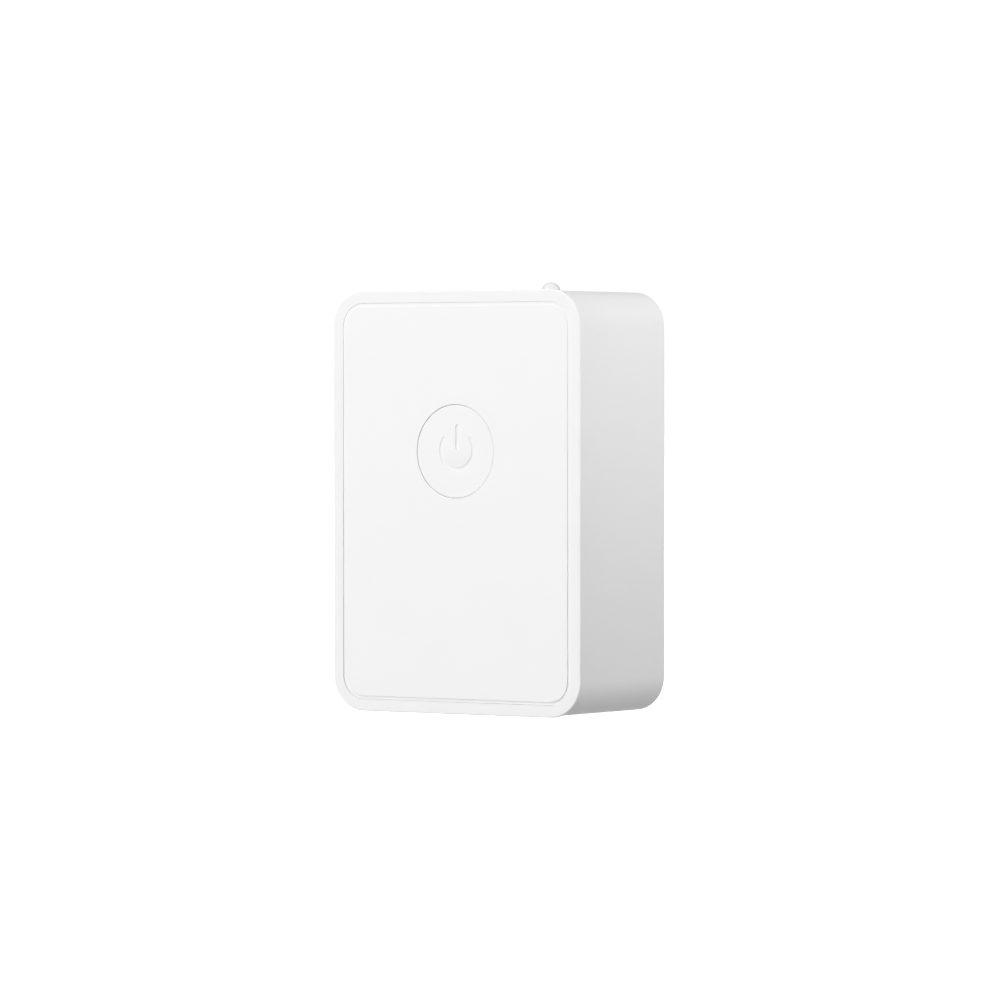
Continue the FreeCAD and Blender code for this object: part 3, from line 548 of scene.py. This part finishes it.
MATERIALS = {
    "casing_white": moulded("casing_white", (0.87, 0.87, 0.87), 0.46, tone=0.004),
    "panel_white": moulded("panel_white", WHITE, 0.50, grain=0.24, grain_depth=0.005, tone=0.003),
    "button_white": moulded("button_white", WHITE, 0.48, grain=0.24, grain_depth=0.004, tone=0.003),
    "cover_white": moulded("cover_white", (0.86, 0.86, 0.86), 0.52, grain=0.42, grain_depth=0.012),
    "outlet_white": moulded(
        "outlet_white", (0.84, 0.84, 0.83), 0.40, grain=0.4, grain_depth=0.004, tone=0.005
    ),
    "inner_plastic": moulded("inner_plastic", (0.74, 0.74, 0.70), 0.42, grain=0.4, tone=0.03),
    "plunger_plastic": moulded("plunger_plastic", (0.45, 0.05, 0.035), 0.35, tone=0.05),
    "black_plastic": moulded("black_plastic", (0.018, 0.018, 0.02), 0.42, grain_depth=0.01, tone=0.2),
    "relay_shell": moulded("relay_shell", (0.012, 0.05, 0.22), 0.28, grain=0.5, tone=0.08),
    "clear_lens": clear("clear_lens", (0.97, 0.97, 0.97), 0.2, 1.4, 0.25),
    "nickel_plate": metal("nickel_plate", (0.62, 0.58, 0.52), 0.24, (6.0, 0.6, 1.0)),
    "brass_strip": metal("brass_strip", (0.66, 0.47, 0.17), 0.26, (1.0, 0.4, 5.0)),
    "copper_wire": wound("copper_wire", (0.62, 0.26, 0.11), 0.28, "Y", 0.28, 1.0),
    "shunt_alloy": metal("shunt_alloy", (0.36, 0.25, 0.17), 0.32, (0.5, 4.0, 4.0)),
    "steel": metal("steel", (0.56, 0.56, 0.57), 0.27, (3.0, 3.0, 3.0), specks=0.7),
    "tin_can": metal("tin_can", (0.62, 0.62, 0.60), 0.22, (0.6, 4.0, 4.0)),
    "soft_iron": metal("soft_iron", (0.36, 0.36, 0.37), 0.38, (4.0, 1.0, 1.0)),
    "ferrite": moulded("ferrite", (0.035, 0.035, 0.038), 0.62, grain=0.2, grain_depth=0.02, tone=0.25),
    "winding_tape": wound("winding_tape", (0.72, 0.47, 0.05), 3.2, "Y", 0.30),
    "capacitor_sleeve": moulded("capacitor_sleeve", (0.02, 0.03, 0.07), 0.24, grain=1.2, tone=0.2),
    "film_box": moulded("film_box", (0.62, 0.45, 0.06), 0.30, grain=0.8, tone=0.05),
    "varistor_coat": moulded(
        "varistor_coat", (0.02, 0.11, 0.30), 0.26, grain=1.0, grain_depth=0.03, tone=0.15
    ),
    "fuse_glass": clear("fuse_glass", (0.93, 0.95, 0.95), 0.02, 1.5),
    "led_resin": clear("led_resin", (0.95, 0.96, 0.97), 0.05, 1.54),
    "circuit_board": circuit("circuit_board"),
    "label_film": moulded(
        "label_film", (0.78, 0.78, 0.77), 0.36, grain=0.7, grain_depth=0.003, tone=0.02
    ),
}


# ------------------------------ front
FRAME = rounded(FRAME_WIDTH, FRAME_HEIGHT, FRAME_RADIUS, (0, MIDDLE), 20)
BUTTON_CENTRE = (0, BUTTON_Z)


def make_front_cover():
    """The frame with its land and groove, the wall behind the panel and the lip in the sleeve."""
    shell = Shell(facing_front)
    step = FRAME_STEP + WALL + FIT
    edge, soft, chamfer = 0.25, 0.06, 0.1
    profile = [(-LAND, PANEL_BACK)]
    profile += rounding((-LAND, FRONT + soft), (-LAND, FRONT), (-LAND + soft, FRONT), 3)
    profile += rounding((-edge, FRONT), (0, FRONT), (0, FRONT + edge), 6)
    profile += rounding((0, SLEEVE_FRONT - soft), (0, SLEEVE_FRONT), (-soft, SLEEVE_FRONT), 2)
    profile += [(-step, SLEEVE_FRONT), (-step, LIP_BACK - chamfer), (-step - chamfer, LIP_BACK)]
    profile += [(-step - LIP, LIP_BACK), (-step - LIP, COVER_BACK)]
    front_ring, back_ring = shell.loft(FRAME, profile)
    bore = circle(FLANGE_RADIUS + FLANGE_ROOM, BUTTON_CENTRE)
    hole_front, hole_back = shell.loft(bore, [(0, PANEL_BACK), (0, COVER_BACK)])
    bosses = []
    wall = BOSS_RADIUS - BOSS_BORE
    top, bottom = COVER_BACK + 1.2, COVER_BACK - 0.8
    for x in (-GUIDE_X, GUIDE_X):
        profile = [(0, COVER_BACK), (0, top - chamfer), (-chamfer, top), (-wall, top), (-wall, bottom)]
        bosses.append(shell.plug(circle(BOSS_RADIUS, (x, BUTTON_Z), 32), profile))
    shell.fill(front_ring, hole_front)
    shell.fill(back_ring, hole_back, *bosses)
    shell.piece("front_frame", "plug_body", "casing_white", "front_cover")


def make_front_panel():
    """The plate in the frame: its face stands above a shallow step and has the button's round hole."""
    shell = Shell(stepped)
    inset, floor = LAND + GROOVE, FRONT + GROOVE_DEPTH
    soft, root_soft, hole_soft = 0.06, 0.05, 0.12
    profile = rounding((-inset - soft, FRONT), (-inset, FRONT), (-inset, FRONT + soft), 4)
    profile += rounding((-inset, floor - root_soft), (-inset, floor), (-inset + root_soft, floor), 3)
    front_ring, root_ring = shell.loft(FRAME, profile)
    rim_centre = (0, MIDDLE + GAP_BELOW / 2)
    rim = rounded(FRAME_WIDTH, FRAME_HEIGHT - GAP_BELOW, FRAME_RADIUS, rim_centre, 20)
    rim_ring, back_ring = shell.loft(rim, [(-PANEL_INSET, floor), (-PANEL_INSET, PANEL_BACK)])
    shell.band(root_ring, rim_ring)
    shell.place = facing_front
    profile = rounding((hole_soft, FRONT), (0, FRONT), (0, FRONT + hole_soft), 3)
    profile.append((0, PANEL_BACK))
    hole_front, hole_back = shell.loft(circle(BUTTON_HOLE, BUTTON_CENTRE), profile)
    shell.fill(front_ring, hole_front)
    shell.fill(back_ring, hole_back)
    shell.piece("front_inset", "plug_body", "panel_white", "front_panel")


def make_button():
    """The cap with its sunk symbol, the flange behind it and the stem."""
    shell = Shell(facing_front)
    tip, flange = button_high.y, FLANGE_RADIUS - BUTTON_RADIUS
    rim = 0.15
    profile = rounding((-rim, CAP_FRONT), (0, CAP_FRONT), (0, CAP_FRONT + rim), 5)
    profile += [(0, FLANGE_FRONT), (flange, FLANGE_FRONT), (flange, FLANGE_BACK)]
    front_ring, back_ring = shell.loft(circle(BUTTON_RADIUS, BUTTON_CENTRE), profile)
    ring = open_ring(SYMBOL_CENTRE)
    stroke = bar(SYMBOL_HALF, SYMBOL_TOP - SYMBOL_HALF, SYMBOL_CENTRE)
    marks = []
    for mark, depth in ((ring, RING_DEPTH), (stroke, BAR_DEPTH)):
        soft, floor = depth * 0.45, CAP_FRONT + depth
        groove = rounding((soft, CAP_FRONT), (0, CAP_FRONT), (0, CAP_FRONT + soft), 3)
        groove += rounding((0, floor - soft), (0, floor), (-soft, floor), 3)
        marks.append(shell.plug(mark, groove))
    shell.fill(front_ring, *marks)
    profile = [(0, FLANGE_BACK), (0, tip - rim), (-rim, tip)]
    shell.fill(back_ring, shell.plug(circle(STEM_RADIUS, BUTTON_CENTRE, 48), profile))
    shell.piece("push_button", "button", "button_white", "power_button")


# ------------------------------ housing
def make_housing():
    """The sleeve of the side walls, with its holes for the lens on top and the outlet underneath."""
    shell = Shell(facing_front)
    corner = 20
    outline = rounded(WIDTH, HEIGHT - BASE, RADIUS, (0, MIDDLE), corner)
    edge, inner_edge = 0.3, 0.15
    outer_front = shell.ring(outline, 0, SLEEVE_FRONT)
    rear_profile = rounding((0, REAR - edge), (0, REAR), (-edge, REAR), 8)
    rear_profile += rounding((-WALL + inner_edge, REAR), (-WALL, REAR), (-WALL, REAR - inner_edge), 2)
    rings = [shell.ring(outline, grow, depth) for grow, depth in rear_profile]
    inner_front = shell.ring(outline, -WALL, SLEEVE_FRONT)
    for first, second in zip(rings, rings[1:]):
        shell.band(first, second)
    shell.band(inner_front, outer_front)
    top, bottom = corner, 2 * (corner + 1) + corner
    shell.band(outer_front, rings[0], (top, bottom))
    shell.band(rings[-1], inner_front, (top, bottom))

    def through(side, hole_outline, outer_z, inner_z, soft):
        """Cuts one hole through the wall on this side of the outline."""
        sign = 1 if outer_z > inner_z else -1
        shell.place = lying
        profile = rounding((soft, outer_z), (0, outer_z), (0, outer_z - sign * soft), 3)
        profile.append((0, inner_z))
        outer_loop, inner_loop = shell.loft(hole_outline, profile)
        shell.place = facing_front
        for front, back, loop in (
            (outer_front, rings[0], outer_loop), (inner_front, rings[-1], inner_loop),
        ):
            shell.fill([front[side], front[side + 1], back[side + 1], back[side]], loop)

    through(top, circle(LENS_RADIUS + FIT, (LENS_X, 0), 64), HEIGHT, HEIGHT - WALL, 0.1)
    size = (insert_high.x - insert_low.x + 2 * FIT, insert_high.y - insert_low.y + 2 * FIT)
    through(bottom, rounded(*size, OUTLET_RADIUS, (0, OUTLET_Y), 12), BASE, BASE + WALL, 0.15)
    shell.piece("housing_sleeve", "plug_body", "casing_white", "main_housing")


def column_outline(centre, side, end):
    """A round column with a web to each of the two walls of its corner."""
    reach = COLUMN_INSET - WALL + FIT
    turn = math.degrees(math.asin(WEB_HALF / COLUMN_RADIUS))

    def outline(grow):
        radius = COLUMN_RADIUS + grow
        points = [(reach, -WEB_HALF), (reach, WEB_HALF)]
        points += arc(radius, turn, 90 - turn, 6)
        points += [(WEB_HALF, reach), (-WEB_HALF, reach)]
        points += arc(radius, 90 + turn, 360 - turn, 30)
        return [(centre[0] + side * a, centre[1] + end * b) for a, b in points]

    return outline


def make_columns():
    """Inside the sleeve: the four columns that the cover screws bite in, and the board's four ledges."""
    shell = Shell(facing_front)
    wall_x = WIDTH / 2 - WALL + FIT
    ledge_size = (wall_x - LEDGE_INNER, 2 * LEDGE_HALF, 0.2)
    for side in (-1, 1):
        for z, end in zip(SCREW_Z, (-1, 1)):
            column = column_outline((side * SCREW_X, z), side, end)
            front_ring, rear_ring = shell.loft(column, [(0, COLUMN_FRONT), (0, COLUMN_REAR)])
            bore = circle(COLUMN_BORE, (side * SCREW_X, z), 32)
            shell.fill(front_ring)
            shell.fill(rear_ring, shell.plug(bore, [(0, COLUMN_REAR), (0, COLUMN_BORE_FRONT)]))
        for z in LEDGE_Z:
            ledge = rounded(*ledge_size, (side * (wall_x + LEDGE_INNER) / 2, z), 3)
            front_ring, rear_ring = shell.loft(ledge, [(0, LEDGE_FRONT), (0, BOARD_FRONT)])
            bore = circle(LEDGE_BORE, (side * LEDGE_X, z), 32)
            shell.fill(front_ring)
            shell.fill(rear_ring, shell.plug(bore, [(0, BOARD_FRONT), (0, LEDGE_BORE_FRONT)]))
    shell.piece("housing_columns", "plug_body", "casing_white", "main_housing")


def label_outline(room, radius):
    """The label's outline with this much room all round."""
    size = (label_high.x - label_low.x + 2 * room, label_high.z - label_low.z + 2 * room)
    return rounded(*size, radius, (0, (label_low.z + label_high.z) / 2), 8)


def make_rear_cover():
    """The plate that closes the back, with its holes and the label's recess."""
    shell = Shell(facing_front)
    size = (plate_high.x - plate_low.x, plate_high.z - plate_low.z)
    outline = rounded(*size, RADIUS - WALL - FIT, (0, MIDDLE), 16)
    front, floor = plate_low.y, label_low.y
    edge, slot_edge, head_edge, recess_edge = 0.3, 0.12, 0.1, 0.08
    profile = rounding((-edge, REAR), (0, REAR), (0, REAR - edge), 4)
    profile.append((0, front))
    rear_ring, front_ring = shell.loft(outline, profile)
    rear_loops, front_loops = [rear_ring], [front_ring]

    def through(hole, profile):
        """Cuts one hole through the plate."""
        first, last = shell.loft(hole, profile)
        rear_loops.append(first)
        front_loops.append(last)

    for node in ("line_blade", "neutral_blade"):
        low, high = span(node)
        size = (high.x - low.x + 2 * FIT, high.z - low.z + 2 * FIT)
        slot = rounded(*size, 0.1, ((low.x + high.x) / 2, BLADES_Z), 3)
        through(slot, [(slot_edge, REAR), (0, REAR - slot_edge), (0, front)])
    through(circle(SHANK_RADIUS + FIT, (0, PIN_Z), 48), [(0, REAR), (0, front)])
    shaft = SHAFT_HOLE - HEAD_HOLE
    for x in (-SCREW_X, SCREW_X):
        for z in SCREW_Z:
            profile = rounding((head_edge, REAR), (0, REAR), (0, REAR - head_edge), 2)
            profile += [(0, front + 1.75), (shaft, front + 0.5), (shaft, front)]
            through(circle(HEAD_HOLE, (x, z), 48), profile)
    profile = [(recess_edge, REAR), (0, REAR - recess_edge), (0, floor)]
    rear_loops.append(shell.plug(label_outline(0.2, 1.2), profile))
    shell.fill(*rear_loops)
    shell.fill(*front_loops)
    shell.piece("rear_plate", "plug_body", "cover_white", "rear_cover")


def make_label():
    """The blank label in its recess."""
    shell = Shell(facing_front)
    edge = 0.04
    profile = [(0, label_low.y), (0, label_high.y - edge), (-edge, label_high.y)]
    shell.solid(label_outline(0, 1.0), profile)
    shell.piece("blank_label", "plug_body", "label_film", "rating_label")


def make_screws():
    """Four countersunk screws with cross recesses."""
    shell = Shell(facing_front)
    top, tip = screws_high.y, screws_low.y
    shaft, sunk = SCREW_SHAFT - SCREW_HEAD, 0.45
    for x in (-SCREW_X, SCREW_X):
        for z in SCREW_Z:
            profile = rounding((-0.12, top), (0, top), (0, top - 0.08), 2)
            profile += [(shaft, top - 1.2), (shaft, tip + 0.6), (SCREW_TIP - SCREW_HEAD, tip)]
            head, end = shell.loft(circle(SCREW_HEAD, (x, z), 48), profile)
            recess = [(0.05, top), (0, top - 0.06), (-0.08, top - sunk)]
            shell.fill(head, shell.plug(cross(1.25, 0.27, (x, z)), recess))
            shell.fill(end)
    shell.piece("rear_screws", "plug_body", "steel", "cover_screws")


# ------------------------------ blades, pin, outlet and lens
def make_blade(node):
    """A flat blade with cut corners, a thinned tip, eased edges and a round hole."""
    low, high = span(node)
    shell = Shell(upright_side)
    root, tip, corner = low.y, high.y, BLADE_CORNER
    half = (high.x - low.x) / 2
    middle = (low.x + high.x) / 2

    def outline_with(tip_back):
        def outline(grow):
            end, bottom, top = tip - tip_back + grow, low.z - grow, high.z + grow
            start = root - grow
            return [
                (start, bottom), (end - corner, bottom), (end, bottom + corner),
                (end, top - corner), (end - corner, top), (start, top),
            ]
        return outline

    soft, thin = 0.1, 0.5
    rows = [(-soft, half, thin + soft), (0, half - soft, thin - soft), (0, half - thin, 0)]
    rows += [(0, thin - half, 0), (0, soft - half, thin - soft), (-soft, -half, thin + soft)]
    rings = [shell.ring(outline_with(back), grow, middle + x) for grow, x, back in rows]
    for first, second in zip(rings, rings[1:]):
        shell.band(first, second)
    profile = [(soft, middle + half), (0, middle + half - soft)]
    profile += [(0, middle - half + soft), (soft, middle - half)]
    hole = circle(BLADE_HOLE_RADIUS, (REAR + BLADE_HOLE_OUT, BLADES_Z), 48)
    first, last = shell.loft(hole, profile)
    shell.fill(rings[0], first)
    shell.fill(rings[-1], last)
    shell.piece(node + "_plated", "plug_body", "nickel_plate", node, sharp=40)


def make_pin():
    """The round earth pin with its domed tip and thinner shank."""
    shell = Shell(facing_front)
    tip, start, soft = pin_high.y, pin_low.y, 0.08
    profile = [(0, start), (SHANK_RADIUS, start), (SHANK_RADIUS, REAR), (PIN_RADIUS - soft, REAR)]
    profile.append((PIN_RADIUS, REAR + soft))
    dome_base, dome_top = (PIN_RADIUS, tip - PIN_DOME), (PIN_RADIUS - PIN_DOME, tip)
    profile += rounding(dome_base, (PIN_RADIUS, tip), dome_top, 10)
    profile.append((0, tip))
    shell.revolve(profile, lambda a, b, y: (a, y, PIN_Z + b))
    shell.piece("ground_pin_plated", "plug_body", "nickel_plate", "ground_pin")


def make_outlet():
    """The insert in the bottom face, with eased edges round its three openings."""
    shell = Shell(lying)
    low, high = insert_low, insert_high
    edge, soft = 0.3, 0.25
    outline = rounded(high.x - low.x, high.y - low.y, OUTLET_RADIUS - FIT, (0, OUTLET_Y), 12)
    profile = rounding((-edge, low.z), (0, low.z), (0, low.z + edge), 4)
    profile.append((0, high.z))
    outer_face, outer_back = shell.loft(outline, profile)
    faces, backs = [outer_face], [outer_back]
    openings = [earth_opening((0, EARTH_Y))]
    for node, length in (("line_blade", LINE_SLOT_LENGTH), ("neutral_blade", NEUTRAL_SLOT_LENGTH)):
        blade_low, blade_high = span(node)
        middle = ((blade_low.x + blade_high.x) / 2, SLOTS_Y)
        openings.append(rounded(SLOT_WIDTH, length, 0.1, middle, 4))
    for opening in openings:
        profile = rounding((soft, low.z), (0, low.z), (0, low.z + soft), 3)
        profile.append((0, high.z))
        first, last = shell.loft(opening, profile)
        faces.append(first)
        backs.append(last)
    shell.fill(*faces)
    shell.fill(*backs)
    shell.piece("outlet_insert", "plug_body", "outlet_white", "outlet_face")


def make_lens():
    """The clear light pipe: stub, flange, shaft and dome."""
    shell = Shell(lying)
    flange_top, soft = HEIGHT - WALL, 0.1
    flange_base = flange_top - LENS_FLANGE_HEIGHT
    shoulder = lens_high.z - LENS_RADIUS
    profile = [(0, lens_low.z), (LENS_STUB - soft, lens_low.z), (LENS_STUB, lens_low.z + soft)]
    profile += [(LENS_STUB, flange_base), (LENS_FLANGE, flange_base)]
    profile += [(LENS_FLANGE, flange_top), (LENS_RADIUS, flange_top)]
    profile += [(r, shoulder + h) for r, h in arc(LENS_RADIUS, 0, 84, 14)]
    profile += [(0, lens_high.z)]
    shell.revolve(profile, lambda a, b, z: (LENS_X + a, b, z), 72)
    shell.piece("light_pipe", "plug_body", "clear_lens", "led_lens")


make_front_cover()
make_front_panel()
make_button()
make_housing()
make_columns()
make_rear_cover()
make_label()
make_screws()
make_blade("line_blade")
make_blade("neutral_blade")
make_pin()
make_outlet()
make_lens()


# ------------------------------ the other CAD nodes keep their shape
for part in frame["record"]["subparts"]:
    node = frame["nodes"][part["node"]]
    if not node.hide_render:
        for place in node.material_slots:
            place.material = MATERIALS[part["material_slot"]]


# ------------------------------ floor
FLOOR_HALF = 4.0  # metres


def floor_material():
    """A white glow from above, and clear from below."""
    material, nodes, links, shader = new_material("floor_pale")
    shader.inputs["Base Color"].default_value = (0.9, 0.9, 0.9, 1)
    shader.inputs["Roughness"].default_value = 0.9
    shader.inputs["Emission Color"].default_value = (1, 1, 1, 1)
    shader.inputs["Emission Strength"].default_value = 1.1
    see_through = nodes.new("ShaderNodeBsdfTransparent")
    side = nodes.new("ShaderNodeNewGeometry")
    either = nodes.new("ShaderNodeMixShader")
    links.new(side.outputs["Backfacing"], either.inputs["Fac"])
    links.new(shader.outputs["BSDF"], either.inputs[1])
    links.new(see_through.outputs["BSDF"], either.inputs[2])
    links.new(either.outputs["Shader"], nodes["Material Output"].inputs["Surface"])
    return material


def make_floor():
    """A plain white floor at the lowest point. It neither lights the object nor shows a shadow."""
    floor_bm = bmesh.new()
    square = ((-1, -1), (1, -1), (1, 1), (-1, 1))
    corners = [floor_bm.verts.new((x * FLOOR_HALF, y * FLOOR_HALF, cad_low.z)) for x, y in square]
    floor_bm.faces.new(corners)
    floor_mesh = bpy.data.meshes.new("floor")
    floor_bm.to_mesh(floor_mesh)
    floor_bm.free()
    floor_mesh.materials.append(floor_material())
    floor = bpy.data.objects.new("floor", floor_mesh)
    bpy.context.scene.collection.objects.link(floor)
    floor.visible_diffuse = False
    floor.visible_glossy = False
    floor.visible_transmission = False
    floor.visible_shadow = False


make_floor()

# ------------------------------ light
# how bright the surroundings are by direction: bright below the horizon and overhead, dark in between
SURROUNDINGS = ((-0.36, 0.85), (-0.24, 0.42), (-0.03, 0.42), (0.03, 0.0), (0.66, 0.0), (0.74, 1.0))


def make_world():
    """Plain white to the camera and through clear pieces; the surroundings light the object."""
    world = bpy.data.worlds.new("studio")
    bpy.context.scene.world = world
    world.use_nodes = True
    nodes, links = world.node_tree.nodes, world.node_tree.links
    background = nodes["Background"]
    direction = nodes.new("ShaderNodeTexCoord")
    parts = nodes.new("ShaderNodeSeparateXYZ")
    links.new(direction.outputs["Generated"], parts.inputs["Vector"])
    surroundings = nodes.new("ShaderNodeValToRGB")
    stops = surroundings.color_ramp.elements
    lowest = SURROUNDINGS[0][1]
    stops[0].color = (lowest, lowest, lowest, 1)
    for upward, share in SURROUNDINGS:
        stop = stops.new((upward + 1) / 2)
        stop.color = (share, share, share, 1)
    links.new(ramp(nodes, links, parts.outputs["Z"], 0, 1, -1, 1), surroundings.inputs["Fac"])
    links.new(surroundings.outputs["Color"], background.inputs["Color"])
    background.inputs["Strength"].default_value = 0.535
    plain = nodes.new("ShaderNodeBackground")
    plain.inputs["Color"].default_value = (1, 1, 1, 1)
    plain.inputs["Strength"].default_value = 1.05
    path = nodes.new("ShaderNodeLightPath")
    seen = nodes.new("ShaderNodeMath")
    seen.operation = "MAXIMUM"
    links.new(path.outputs["Is Camera Ray"], seen.inputs[0])
    links.new(path.outputs["Is Transmission Ray"], seen.inputs[1])
    choose = nodes.new("ShaderNodeMixShader")
    links.new(seen.outputs["Value"], choose.inputs["Fac"])
    links.new(background.outputs["Background"], choose.inputs[1])
    links.new(plain.outputs["Background"], choose.inputs[2])
    links.new(choose.outputs["Shader"], nodes["World Output"].inputs["Surface"])


centre = Vector((0, 0, MIDDLE)) * MM


def softbox(name, azimuth, elevation, distance, size, power):
    """A large square light aimed at the middle of the box, seen from azimuth 0 in front."""
    a, e = math.radians(azimuth), math.radians(elevation)
    back = Vector((math.sin(a) * math.cos(e), -math.cos(a) * math.cos(e), math.sin(e)))
    light = bpy.data.lights.new(name, "AREA")
    light.shape = "SQUARE"
    light.size = size
    light.energy = power
    lamp = bpy.data.objects.new(name, light)
    lamp.location = centre + back * distance
    lamp.rotation_euler = back.to_track_quat("Z", "Y").to_euler()
    lamp.visible_camera = False
    bpy.context.scene.collection.objects.link(lamp)


make_world()
softbox("front", 0, 0, 1.0, 0.8, 4.465)
softbox("front_left", -35, 35, 1.2, 0.9, 10.13)
softbox("right_high", 95, 35, 0.22, 0.15, 0.208)
softbox("right_low", 100, 12, 0.2, 0.15, 0.084)
softbox("back", 205, -4, 1.2, 0.5, 5.0)

# ------------------------------ camera, in metres from the middle of the box
CAMERA_TURN = math.radians(34.67)  # to the right of straight ahead
CAMERA_DISTANCE = 1.15825
CAMERA_RISE = 0.02144
AIM_RISE = 0.000257
CAMERA_SIDEWAYS = 0.165 * MM


def make_camera():
    """A long lens, front right and a little above the middle."""
    outward = Vector((math.sin(CAMERA_TURN), -math.cos(CAMERA_TURN), 0))
    sideways = Vector((math.cos(CAMERA_TURN), math.sin(CAMERA_TURN), 0)) * CAMERA_SIDEWAYS
    camera_data = bpy.data.cameras.new("camera")
    camera_data.sensor_width = 36.0
    camera_data.lens = 208.3
    camera_data.clip_start = 0.05
    camera_data.clip_end = 50.0
    camera = bpy.data.objects.new("camera", camera_data)
    camera.location = centre + outward * CAMERA_DISTANCE + Vector((0, 0, CAMERA_RISE)) + sideways
    aim = centre + Vector((0, 0, AIM_RISE)) + sideways
    camera.rotation_mode = "QUATERNION"
    camera.rotation_quaternion = (camera.location - aim).to_track_quat("Z", "Y")
    bpy.context.scene.collection.objects.link(camera)
    bpy.context.scene.camera = camera


make_camera()
bpy.context.scene.view_settings.view_transform = "Standard"
